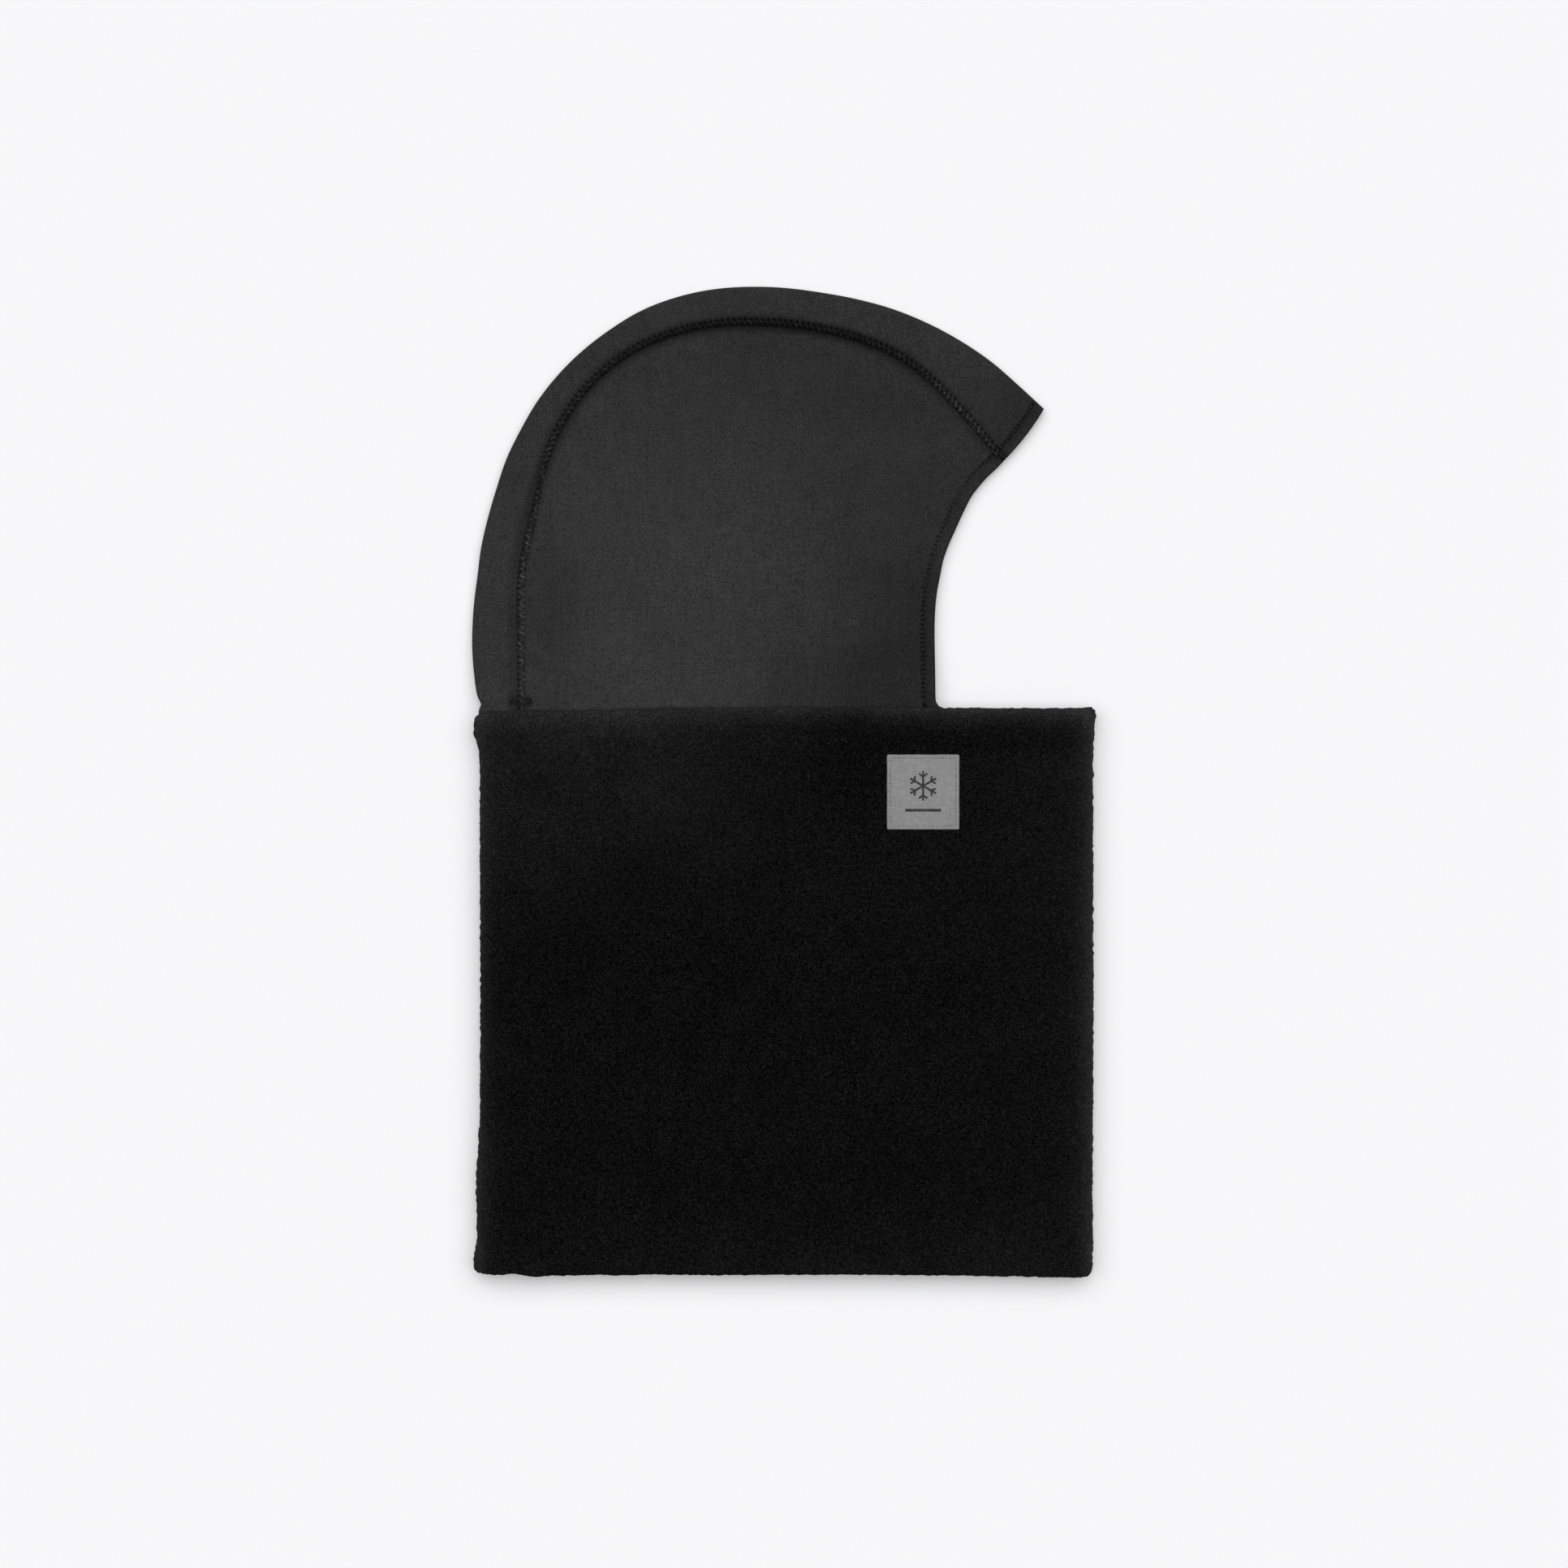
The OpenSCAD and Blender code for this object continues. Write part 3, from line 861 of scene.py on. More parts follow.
def lift(x, y):
    """Height of the near outer face over the tube's middle, before pile."""
    edge = np.minimum(x - FOLD_BACK_X, FOLD_FRONT_X - x)
    h = FOLD_R - 1.1 * smooth(-2, 42, edge) * smooth(-210, -178, y) * smooth(34, 4, y)
    h = h + 0.42 * NOISE_A.layered(x / 46, y / 46, 0.3) * smooth(-4, 22, edge)
    h = h + 0.16 * NOISE_B.layered(x / 13, y / 13, 1.3) * smooth(-6, 12, edge)
    h = h + TUBE_CROWN(x, y)
    # rolled ends, thicker over the seam allowances inside
    h = h + 0.45 * bell(y, 25.5, 5.0) + 0.5 * bell(y, -203, 5.5)
    # shallow crease under the upper roll
    front_crease = bell(y, 19.4 + 0.8 * NOISE_C(x / 30, 2.2), 2.6)
    h = h - 0.55 * front_crease * smooth(-70, 0, x) * smooth(128, 108, x)
    h = h - 0.30 * bell(y, 15.5, 4.5) * smooth(-40, -90, x)
    # soft standing fold beside the lower back corner
    return h + smooth(-140, -176, y) * (0.75 * bell(x, -114, 9.0) - 0.95 * bell(x, -97, 6.0))


NEAR, FRONT, FAR, BACK = range(4)  # the stretches of the flattened tube's section


def section(kind, t, y, inset):
    """x and z of the section: t runs 0 to 1 along each stretch."""
    near_x = FOLD_BACK_X + (FOLD_FRONT_X - FOLD_BACK_X) * t
    far_x = FOLD_FRONT_X + (FOLD_BACK_X - FOLD_FRONT_X) * t
    r = np.maximum(FOLD_R - inset, 0.4)
    cos, out = np.cos(t * np.pi), r * np.sin(t * np.pi)

    def rise(x):
        return lift(np.full_like(y, x), y) - FOLD_R

    stretches = [kind == k for k in (NEAR, FRONT, FAR, BACK)]
    x = np.select(stretches, [near_x, FOLD_FRONT_X + out, far_x, FOLD_BACK_X - out])
    z = np.select(stretches, [
        TUBE_MID_Z + lift(near_x, y) - inset,
        TUBE_MID_Z + r * cos + rise(FOLD_FRONT_X) * np.clip(cos, 0, 1),
        TUBE_MID_Z - (FOLD_R - inset),
        TUBE_MID_Z - r * cos + rise(FOLD_BACK_X) * np.clip(-cos, 0, 1),
    ])
    return x, z


def columns(n_near, n_fold, n_far):
    counts = (n_near, n_fold, n_far, n_fold)
    fold = (np.arange(n_fold) + 1) / (n_fold + 1)
    kinds = np.repeat([NEAR, FRONT, FAR, BACK], counts)
    return kinds, np.concatenate([np.linspace(0, 1, n_near), fold, np.linspace(0, 1, n_far), fold])


def loft(cols, profile):
    """Grid of points (columns, profile rows): profile rows are (y, inset)."""
    kind, y = np.meshgrid(cols[0], profile[:, 0], indexing="ij")
    t, inset = np.meshgrid(cols[1], profile[:, 1], indexing="ij")
    x, z = section(kind, t, y, inset)
    # outline irregularities, fading inwards
    by_back, by_front = fade(x - TUBE_BACK, 9.0), fade(TUBE_FRONT - x, 9.0)
    x = x + smoothed(BACK_STRAY, y) * by_back + smoothed(FRONT_STRAY, y) * by_front
    bent = y + smoothed(BOTTOM_STRAY, x) * fade(y - TUBE_BOTTOM, 7.0)
    top = smoothed(TOP_STRAY, x) + 0.18 * NOISE_B(x / 9, 4.4)
    return np.stack([x, bent + top * fade(TUBE_TOP - y, 5.0), z], -1)


def outer_profile(step=0.8):
    """(y, inset) up the outer face, over the top lip, down the inside and round the hem."""
    y0, y1 = TUBE_BOTTOM + LIP_R, TUBE_TOP - LIP_R
    rows = [(y, 0.0) for y in np.linspace(y0, y1, int((y1 - y0) / step))]
    angles = np.linspace(0, np.pi, 15)[1:]
    rows += [(y1 + LIP_R * math.sin(a), WALL / 2 * (1 - math.cos(a))) for a in angles]
    rows += [(y, WALL) for y in (27.5, 26.3, 25.0)]
    rows += [(24.2, 4.4), (24.0, 3.4), (23.2, OUTER_WALL)]
    rows += [(y, OUTER_WALL) for y in np.linspace(16, -195, 22)]
    rows += [(-202.0, OUTER_WALL), (-202.8, 3.4), (-203.0, 4.4), (-203.6, WALL), (-205.0, WALL)]
    rows += [(y0 - LIP_R * math.sin(a), WALL / 2 * (1 + math.cos(a))) for a in angles[:-1]]
    return np.array(rows)


def lining_profile():
    """(y, inset) up the lining's hidden face and down its inner one."""
    rows = [(y, 3.1) for y in np.linspace(-201.6, 23.6, 60)]
    rows += [(23.9, 3.6), (24.0, 4.2), (23.9, 4.9)]
    rows += [(y, WALL) for y in np.linspace(23.4, -201.4, 90)]
    rows += [(-201.8, 4.9), (-201.9, 4.2), (-201.8, 3.6)]
    return np.array(rows)


def pile(p, n, amount):
    """Pebbled pile along the normals: rounded tufts with dark gaps, knobbly over 1."""
    x, y, z = p[..., 0], p[..., 1], p[..., 2]
    tufts = 0.20 * NOISE_A(x / 1.75, y / 1.75, z / 1.75)
    fine = 0.13 * NOISE_B(x / 0.95 + 5, y / 0.95, z / 0.95)
    broad = 0.12 * NOISE_C(x / 4.2, y / 4.2, z / 4.2)
    knobs = 0.42 * np.maximum(amount - 1.0, 0) * NOISE_D(x / 2.6, y / 2.6, z / 2.6)
    return p + n * (amount * (tufts + fine + broad) + knobs)[..., None]


def nap_light(p):
    """Painted light and shade on the outer pile, as a brightness factor: painted highlights at the
    top mouth, folds and hem, painted shade in the crease under the roll.
    """
    x, y = p[..., 0], p[..., 1]
    to_back, to_front = smooth(-20, -110, x), smooth(10, 70, x)
    lip = (4.3 + 2.1 * to_front) * fade(31.4 - y, 3.9 + 4.0 * to_back - 0.6 * to_front)
    upper = (0.43 + 0.45 * to_back - 0.12 * to_front) * smooth(-78, 4, y)
    crease = 0.42 * bell(y, 16.5, 4.2) * to_front
    # painted light and shade in patches below the mouth, paler then darker
    patches = 0.34 * bell(x, -46, 24) * smooth(-34, -8, y) * smooth(31, 26, y)
    patches = patches - 0.34 * bell(x, 28, 25) * smooth(-50, -4, y)
    patches = patches - 0.16 * bell(x, 72, 22) * smooth(-34, -6, y) * smooth(27, 20, y)
    patches = patches - 0.18 * smooth(-92, -118, x) * smooth(10, 20, y)
    back, front = x - TUBE_BACK, TUBE_FRONT - x
    folds = 3.6 * fade(back, 2.9) + 0.12 * fade(back, 22)
    folds = folds + 6.1 * fade(front, 3.5) + 0.38 * fade(front, 34)
    hem = 0.6 * fade(y - TUBE_BOTTOM, 7.0)
    hem = hem + (0.16 + 0.13 * smooth(-60, 60, x)) * smooth(-170, -202, y) * 1.1
    hem = hem - 0.14 * to_back * smooth(-186, -202, y)
    hem = hem - 0.35 * smooth(100, 126, x) * smooth(-176, -200, y)
    broad = 0.06 * NOISE_D.layered(x / 60, y / 60, 6.1)
    return np.clip((1.0 + lip + upper - crease + folds + hem + broad) * (1.0 + patches), 0.5, 7.0)


def tube_piece(o, node):
    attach(o, "neck_tube")
    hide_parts(node)


def fleece_layer(p, row, amount):
    """The lofted points with pile on them, and whether their faces need turning over."""
    flip = faces_down(p, 10, row, closed=True)
    n = normals(p, closed=True) * (-1 if flip else 1)
    return pile(p, n, amount), flip


def outer_fleece():
    profile = outer_profile()
    p = loft(columns(322, 18, 70), profile)
    x, y = p[..., 0], p[..., 1]
    hidden = np.abs(profile[:, 1] - OUTER_WALL) < 0.01
    amount = np.where(hidden, 0.0, 1.0)[None, :]
    amount = amount * (1.0 + 0.9 * fade(np.minimum(x - TUBE_BACK, TUBE_FRONT - x), 2.5))
    amount = amount * (1.0 + 0.5 * fade(np.minimum(y - TUBE_BOTTOM, TUBE_TOP - y), 2.0))
    p, flip = fleece_layer(p, len(profile) // 4, amount)
    # painted light and shade for the pile, kept per vertex for the fleece material
    light = nap_light(p)
    nap = np.stack([light, np.zeros_like(light), np.zeros_like(light)], -1)
    b = Build()
    b.grid(p, closed_u=True, closed_v=True, flip=flip, nap=nap)
    tube_piece(b.obj("outer_fleece_fabric", FLEECE), "outer_fleece")


def lining_fleece():
    p = loft(columns(110, 10, 60), lining_profile())
    p, flip = fleece_layer(p, 20, np.full(p.shape[:2], 0.5))
    b = Build()
    b.grid(p, closed_u=True, closed_v=True, flip=flip)
    tube_piece(b.obj("lining_fleece_fabric", LINING), "lining_fleece")


outer_fleece()
lining_fleece()

# --------------------------------------------------------------------------- hood: heights

JERSEY = 0.85
EDGE_R = 0.9  # how far in the opening's edge is rounded


def near_base(x, y):
    up = np.maximum(y - NECK_Y, 0)
    z = 4.75 + 3.9 * np.exp(-((up / 23.0) ** 1.7))
    soft = 0.34 * NOISE_A.layered(x / 52 + 3, y / 52, 7.7)
    soft = soft + 0.10 * NOISE_B.layered(x / 17, y / 17, 3.1)
    z = z + smooth(0, 22, up) * soft
    z = z + 0.30 * NOISE_C(x / 15, y / 70, 5.1) * fade(up, 26.0) * smooth(0, 10, up)
    return z + HOOD_CROWN(x, y)


def far_base(x, y):
    return 0.55 + 5.35 * bell(np.maximum(y - NECK_Y, 0), 0, 15.0)


def seam_relief(s, d):
    """Pressed-open flatlock: a valley on the line, a raised band each side, puckered."""
    a = np.abs(d)
    z = 0.26 * smooth(4.2, 2.2, a) - 0.62 * bell(d, 0, 0.55)
    z = z + 0.10 * np.cos(TURN * (s / SEAM_PITCH)) * bell(a, 2.2, 1.1)
    z = z - 0.22 * bell(a, 4.6, 1.2)
    return z + 0.10 * NOISE_D(s / 6.0, d / 3.0, 2.0) * smooth(8, 2, a)


def hem_relief(s, depth):
    """Turned-in edge, doubled for 7 mm, pulled down along its stitch row."""
    wave = np.cos(TURN * s / HEM_PITCH)
    z = 0.42 * smooth(8.2, 6.4, depth)
    z = z - 0.34 * bell(depth, HEM_ROW, 0.6) * (0.75 + 0.25 * wave)
    z = z - 0.75 * rounded(depth, EDGE_R)
    z = z + 0.08 * wave * bell(depth, 3.3, 1.4)
    return z + 0.12 * NOISE_D(s / 11.0, depth / 6.0, 9.0) * smooth(9, 4, depth)


def measure(xy):
    """Of points: (along the seam, across it, along the opening's edge, in from it)."""
    hem_s, hem_d = opening.near(xy)
    return *seam.near(xy), hem_s, -hem_d


def near_height(xy, measured):
    s, d, hem_s, hem_d = measured
    return near_base(*xy.T) + seam_relief(s, d) + hem_relief(hem_s, np.maximum(hem_d, 0))


def far_height(xy, measured):
    _, d, _, hem_d = measured
    z = far_base(*xy.T) + 0.5 * rounded(hem_d, EDGE_R)
    return z - 0.12 * smooth(4.2, 2.2, np.abs(d)) + 0.3 * bell(d, 0, 0.6)


def thickness(hem_d):
    return JERSEY + JERSEY * smooth(7.8, 6.8, hem_d)


# (along the seam, how strong its painted shade is): weakest at the nape, strongest over the crown
SEAM_SHADE_WEIGHT = np.array([
    (0, 0.10), (45, 0.12), (80, 0.42), (110, 0.66), (165, 0.67), (200, 0.86),
    (240, 1), (280, 0.92), (315, 0.64), (343, 0.5), (372, 0.35), (400, 0.3),
])


def broad_shade(x, y):
    """Broad light and shade: most light low at the back, less at the face and the crown."""
    g = 1.14 - 0.34 * smooth(-35, 66, x) * smooth(172, 110, y) - 0.23 * smooth(95, 182, y)
    g = g - 0.10 * smooth(-80, -112, x) * smooth(170, 120, y)
    # painted shade in hollows: beside the lower seam, above the mouth at the front, towards the
    # face and under the crown seam
    g = g - 0.23 * bell(x, -99, 17) * bell(y, 71, 31)
    g = g - 0.27 * smooth(-30, 6, x) * smooth(67, 44, y) * (1 - 0.3 * smooth(25, 55, x))
    g = g - 0.18 * smooth(15, 45, x) * smooth(102, 82, y) * smooth(42, 58, y)
    g = g - 0.12 * smooth(140, 165, y) * smooth(-40, -8, x)
    return g + 0.05 * NOISE_D.layered(x / 38, y / 38, 1.7)


def stitch_attrs(measured, shade):
    """The jersey material's seam and hem attributes; their third values carry the seam's
    painted-shade weight and the painted broad light and shade.
    """
    s, d, hem_s, hem_d = measured
    depth = np.interp(s, SEAM_SHADE_WEIGHT[:, 0], SEAM_SHADE_WEIGHT[:, 1])
    return np.column_stack([s, d, depth]), np.column_stack([hem_s, hem_d, shade])


def hood_piece(o, node):
    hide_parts(node)
    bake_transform(o)


# --------------------------------------------------------------------------- hood: side panels


def inside_polygon(poly, points):
    x, y = points[:, 0], points[:, 1]
    inside = np.zeros(len(points), bool)
    for (xi, yi), (xj, yj) in zip(poly, np.roll(poly, 1, 0)):
        crossing = (xj - xi) * (y - yi) / (yj - yi + 1e-30) + xi
        inside ^= ((yi > y) != (yj > y)) & (x < crossing)
    return inside


def side_panel_plan(step, spacing, seam_rows, face_rows):
    """Triangulated plan of a side panel: fine along its seam and hem, open in the middle."""
    gap = -0.12
    s = np.linspace(0, seam.length - 0.4, int(seam.length / step))
    top = seam.off(s, np.full(len(s), gap))
    front = face.at(np.linspace(0.25, face.length, int(face.length / 0.7)))
    nb = int(abs(front[-1, 0] - top[0, 0]) / 1.3)
    bottom_x = np.linspace(front[-1, 0], top[0, 0], nb + 1)[1:-1]
    bottom = np.column_stack([bottom_x, np.full(nb - 1, HOOD_START_Y)])
    loop = np.vstack([top, front, bottom])
    poly = loop[::3]

    def inner(points):
        """The points inside, with their distances from seam, face edge and bottom."""
        points = points[inside_polygon(poly, points)]
        from_seam = np.abs(seam.near(points)[1] - gap)
        return points, from_seam, np.abs(face.near(points)[1]), points[:, 1] - HOOD_START_Y

    def row_of(path, k, n, offset):
        s = (np.arange(n) + 0.5 * (k % 2)) * path.length / n
        return inner(path.off(s, np.full(n, offset)))

    kept = [loop]
    for k, row in enumerate(seam_rows):
        n = int(seam.length / (step if row < 3 else 1.1))
        q, ds, df, db = row_of(seam, k, n, gap - row)
        ok = (ds > row - 0.04) & (df > 0.45) & (db > 0.4) & ((df > 7.6) | (df > ds))
        kept.append(q[ok])
    for k, row in enumerate(face_rows):
        q, ds, df, db = row_of(face, k, int(face.length / 0.8), -row)
        ok = (df > row - 0.04) & (ds > 0.45) & (db > 0.4) & ((ds > 5.2) | (ds >= df))
        kept.append(q[ok])
    ys = np.arange(HOOD_START_Y, 200, spacing * 0.866)
    x, y = np.meshgrid(np.arange(-116, 100, spacing), ys, indexing="ij")
    x = x + (np.arange(len(ys)) % 2)[None, :] * spacing / 2
    q, ds, df, db = inner(np.column_stack([x.ravel(), y.ravel()]))
    kept.append(q[(ds > seam_rows[-1] + 0.75) & (df > face_rows[-1] + 0.7) & (db > 0.9)])

    n = len(loop)
    edges = [(i, (i + 1) % n) for i in range(n)]
    points = [Vector(p) for p in np.vstack(kept)]
    out = delaunay_2d_cdt(points, edges, [list(range(n))], 1, 1e-6)
    v = np.array([list(q) for q in out[0]])
    tris = np.array([f for f in out[2] if len(f) == 3])
    # all anticlockwise, without slivers of no area
    a, b, c = v[tris[:, 0]], v[tris[:, 1]], v[tris[:, 2]]
    area = (b[:, 0] - a[:, 0]) * (c[:, 1] - a[:, 1]) - (b[:, 1] - a[:, 1]) * (c[:, 0] - a[:, 0])
    tris[area < 0] = tris[area < 0][:, ::-1]
    return v, tris[np.abs(area) > 1e-7]


def boundary(tris):
    """The boundary loop of a triangulated disc, in the triangles' own direction."""
    edges = np.vstack([tris[:, [0, 1]], tris[:, [1, 2]], tris[:, [2, 0]]])
    have = set(map(tuple, edges))
    following = {a: b for a, b in edges if (b, a) not in have}
    start = next(iter(following))
    loop, k = [start], following[start]
    while k != start:
        loop.append(k)
        k = following[k]
    return np.array(loop)


plan_xy, plan_tris = side_panel_plan(
    step=0.6, spacing=1.5,
    seam_rows=(0.32, 0.65, 1.05, 1.5, 2.0, 2.6, 3.3, 4.1, 5.1),
    face_rows=(0.22, 0.5, 0.95, 1.6, 2.4, 3.3, 4.0, 4.45, 4.9, 5.35, 5.9, 6.6, 7.4),
)
plan_measured = measure(plan_xy)
coarse_xy, coarse_tris = side_panel_plan(
    step=1.2, spacing=3.0, seam_rows=(0.6, 1.4, 2.6, 4.2), face_rows=(0.3, 0.8, 1.8, 3.5, 6.0)
)
by_seam = np.abs(seam.near(coarse_xy)[1]) < 1.0
by_hem = np.abs(opening.near(coarse_xy)[1]) < 5.2
held = by_seam | by_hem | (coarse_xy[:, 1] < NECK_Y + 3)
HOOD_CROWN = cloth_crown(coarse_xy, coarse_tris, held, tallest=0.6, step=4.0, seed=5)


def side_panel(side, z_top, z_bottom):
    """A closed shell: top, underside and a rim pushed out so that the edge is round."""
    rim_push = 0.1
    seam_attr, hem_attr = stitch_attrs(plan_measured, broad_shade(*plan_xy.T))
    low, high = plan_xy.min(0), plan_xy.max(0)
    uv = (plan_xy - low) / (high - low) * [0.49 - 0.01, 0.99 - 0.01]
    uv_top, uv_bottom = uv + [0.01, 0.01], uv + [0.51, 0.01]
    b = Build()
    top = b.verts(np.column_stack([plan_xy, z_top]), seam=seam_attr, hem=hem_attr)
    bottom = b.verts(np.column_stack([plan_xy, z_bottom]), seam=seam_attr, hem=hem_attr)
    b.faces(top + plan_tris, uv_top[plan_tris])
    b.faces((bottom + plan_tris)[:, ::-1], uv_bottom[plan_tris][:, ::-1])
    loop = boundary(plan_tris)
    following = np.roll(loop, -1)
    along = path_normal_frame(plan_xy[loop], closed=True)
    out = np.stack([along[:, 1], -along[:, 0]], -1)
    middle = np.column_stack([plan_xy[loop] + out * rim_push, (z_top[loop] + z_bottom[loop]) / 2])
    rim = b.verts(middle, seam=seam_attr[loop], hem=hem_attr[loop])
    k = np.arange(len(loop))
    k1 = (k + 1) % len(loop)
    upper = np.stack([top + loop, rim + k, rim + k1, top + following], 1)
    lower = np.stack([rim + k, bottom + loop, bottom + following, rim + k1], 1)
    for quads, edge_uv in ((upper, uv_top), (lower, uv_bottom)):
        here, there = edge_uv[loop], edge_uv[following]
        b.faces(quads, np.stack([here, here, there, there], 1))
    hood_piece(b.obj(f"{side}_side_panel_fabric", KNIT), f"{side}_side_panel")


near_z, far_z = near_height(plan_xy, plan_measured), far_height(plan_xy, plan_measured)
panel_thickness = thickness(plan_measured[3])
side_panel("near", near_z, near_z - panel_thickness)
side_panel("far", far_z + panel_thickness, far_z)

# --------------------------------------------------------------------------- hood: folded gusset


def centre_gusset():
    """The strip between the two seams, folded in half along the crown."""
    n = 700
    fold_r = 2.3  # how round the crown fold is in plan
    q = np.linspace(0, 1, n)
    start = seam.off(q * seam.length, np.full(n, 0.12))
    across = crown.at(q * crown.length) - start
    width = np.linalg.norm(across, axis=1)
    unit = across / width[:, None]
    bulge = 0.9 * smooth(0.955, 1.0, q)  # the front edge is a little convex
    bulge_way = np.array([0.84, -0.54])

    def place(distance):
        t = distance / width
        p = start + unit * distance[:, None]
        return p + (bulge * 4 * t * (1 - t))[:, None] * bulge_way

    by_seam = (0.0, 0.3, 0.6, 1.0, 1.4, 1.8, 2.3, 2.9, 3.6, 4.5, 5.6)
    open_rows = 12
    distances = [np.full(n, d) for d in by_seam]
    open_width = width - fold_r - by_seam[-1]
    distances += [by_seam[-1] + open_width * k / open_rows for k in range(1, open_rows + 1)]

    points, seam_attr, hem_attr = [], [], []

    def add(xy, z, measured):
        x, y = xy.T
        # painted shade at the gusset's front corner by the brow, on the broad painted light and
        # shade held to at least 0.91
        corner = np.exp(-0.5 * ((x - 106) ** 2 + (y - 154) ** 2) / 15.0**2)
        shade = np.maximum(broad_shade(x, y), 0.91) - 0.28 * corner
        points.append(np.column_stack([xy, z]))
        for rows, values in zip((seam_attr, hem_attr), stitch_attrs(measured, shade)):
            rows.append(values)

    def add_flat(distance, height):
        xy = place(distance)
        measured = measure(xy)
        add(xy, height(xy, measured), measured)

    for distance in distances:
        add_flat(distance, near_height)
    fold_xy = place(width - fold_r)
    fold_measured = measure(fold_xy)
    fold_top, fold_low = near_height(fold_xy, fold_measured), far_height(fold_xy, fold_measured)
    middle, half = (fold_top + fold_low) / 2, (fold_top - fold_low) / 2
    for angle in np.linspace(0, np.pi, 15)[1:-1]:
        distance = width - fold_r + fold_r * math.sin(angle)
        xy = place(distance)
        hem_s, hem_d = opening.near(xy)
        drop = hem_relief(hem_s, np.maximum(-hem_d, 0)) - hem_relief(hem_s, np.full(n, 3.0))
        z = middle + half * math.cos(angle) + drop * max(math.cos(angle), 0) * 0.5
        add(xy, z, (q * seam.length, distance, hem_s, -hem_d))
    for distance in distances[::-2]:
        add_flat(distance, far_height)

    outer = np.stack(points, 1)
    seam_attr, hem_attr = np.stack(seam_attr, 1), np.stack(hem_attr, 1)
    # inner face, one fabric thickness inside (two at the turned front edge)
    flip = faces_down(outer, n // 2, 5)
    out = normals(outer) * (-1 if flip else 1)
    inner = outer - out * thickness(hem_attr[..., 1])[..., None]
    b = Build()
    attrs = dict(seam=seam_attr, hem=hem_attr)
    first_out = b.grid(outer, flip=flip, rect=(0.0, 0.0, 1.0, 0.49), rows=4, **attrs)
    first_in = b.grid(inner, flip=not flip, rect=(0.0, 0.51, 1.0, 1.0), rows=4, **attrs)
    rows = outer.shape[1]

    def rim(a, c, flip_rim):
        quad = np.stack([a[:-1], a[1:], c[1:], c[:-1]], 1)
        if flip_rim:
            quad = quad[:, ::-1]
        b.faces(quad, np.full((len(quad), 4, 2), 0.5))

    lengthwise, end = np.arange(n) * rows, np.arange(rows)
    rim(first_out + lengthwise, first_in + lengthwise, flip)
    rim(first_out + lengthwise + rows - 1, first_in + lengthwise + rows - 1, not flip)
    rim(first_out + end, first_in + end, not flip)
    # the front end gets a pushed-out ring so that the turned edge is round
    push = np.array([0.72, -0.62, 0.0]) * 0.12
    ring = b.verts((outer[-1] + inner[-1]) / 2 + push, seam=seam_attr[-1], hem=hem_attr[-1])
    last = (n - 1) * rows + end
    rim(first_out + last, ring + end, flip)
    rim(ring + end, first_in + last, flip)
    hood_piece(b.obj("centre_gusset_fabric", KNIT), "centre_gusset")


centre_gusset()

# --------------------------------------------------------------------------- hood: threads

BASE = {"near": near_base, "far": far_base}
OUTWARD = {"near": 1, "far": -1}


def flatlock(side):
    """A covering thread zigzagging between two needle rows, along the panel seam."""

    def laid(s, across, height):
        xy = seam.off(s, across)
        base = BASE[side](*xy.T)
        z = base + 0.22 + height if side == "near" else base - (height * 0.6 + 0.02)
        return np.column_stack([xy, z])

    per_stitch = 12
    start, end = NECK_Y - HOOD_START_Y + 1.2, seam.length - 1.0
    n = int((end - start) / SEAM_PITCH) * per_stitch
    s = start + np.arange(n + 1) * SEAM_PITCH / per_stitch
    phase = (s / SEAM_PITCH) % 1.0 - 0.5
    beside_hole = bell(phase, 0, 0.2)
    middle_hole = bell(np.abs(phase), 0.5, 0.2)
    jitter = 0.12 * NOISE_C(s / 3.1, 0.4)
    beside = BESIDE_LOW + (BESIDE_HIGH - BESIDE_LOW) * smooth(*BESIDE_SWAP, s)
    middle, half = beside / 2, np.maximum(np.abs(beside) / 2, 0.7)
    turns = TURN * s / SEAM_PITCH
    swing = np.cos(turns) * np.where(beside > 0, 1, -1)
    radius = 0.13 + 0.34 * (0.5 + 0.5 * np.sin(turns + 0.6 * NOISE_B(s / 7.0, 3.3))) ** 1.5
    reach = half * (0.92 + 0.22 * NOISE_A(s / 2.9, 5.5))
    drift = 0.7 * NOISE_B(s / 4.0, 8.1) + 0.22 * np.sin(turns)
    height = 0.06 + 0.12 * (1 - swing * swing) + 0.12 * NOISE_C(s / 2.3, 9.0)
    zigzag = laid(s + drift, middle + reach * swing + jitter, height)
    b = Build()
    thread(b, zigzag, radius, sides=7, rect=(0, 0, 1, 0.34), rows=10, flat=0.6)
    # the two needle rows, dipping into the fabric at every hole
    beside_row = laid(s, beside + jitter, 0.04 - 0.62 * beside_hole)
    middle_row = laid(s, 0.6 * jitter, -0.16 - 0.55 * middle_hole)
    thread(b, beside_row, 0.17, rect=(0, 0.35, 1, 0.55), rows=8)
    thread(b, middle_row, 0.17, rect=(0, 0.56, 1, 0.76), rows=8)
    o = b.obj(f"{side}_flatlock_threads", THREAD)
    hood_piece(o, f"{side}_flatlock_seam")


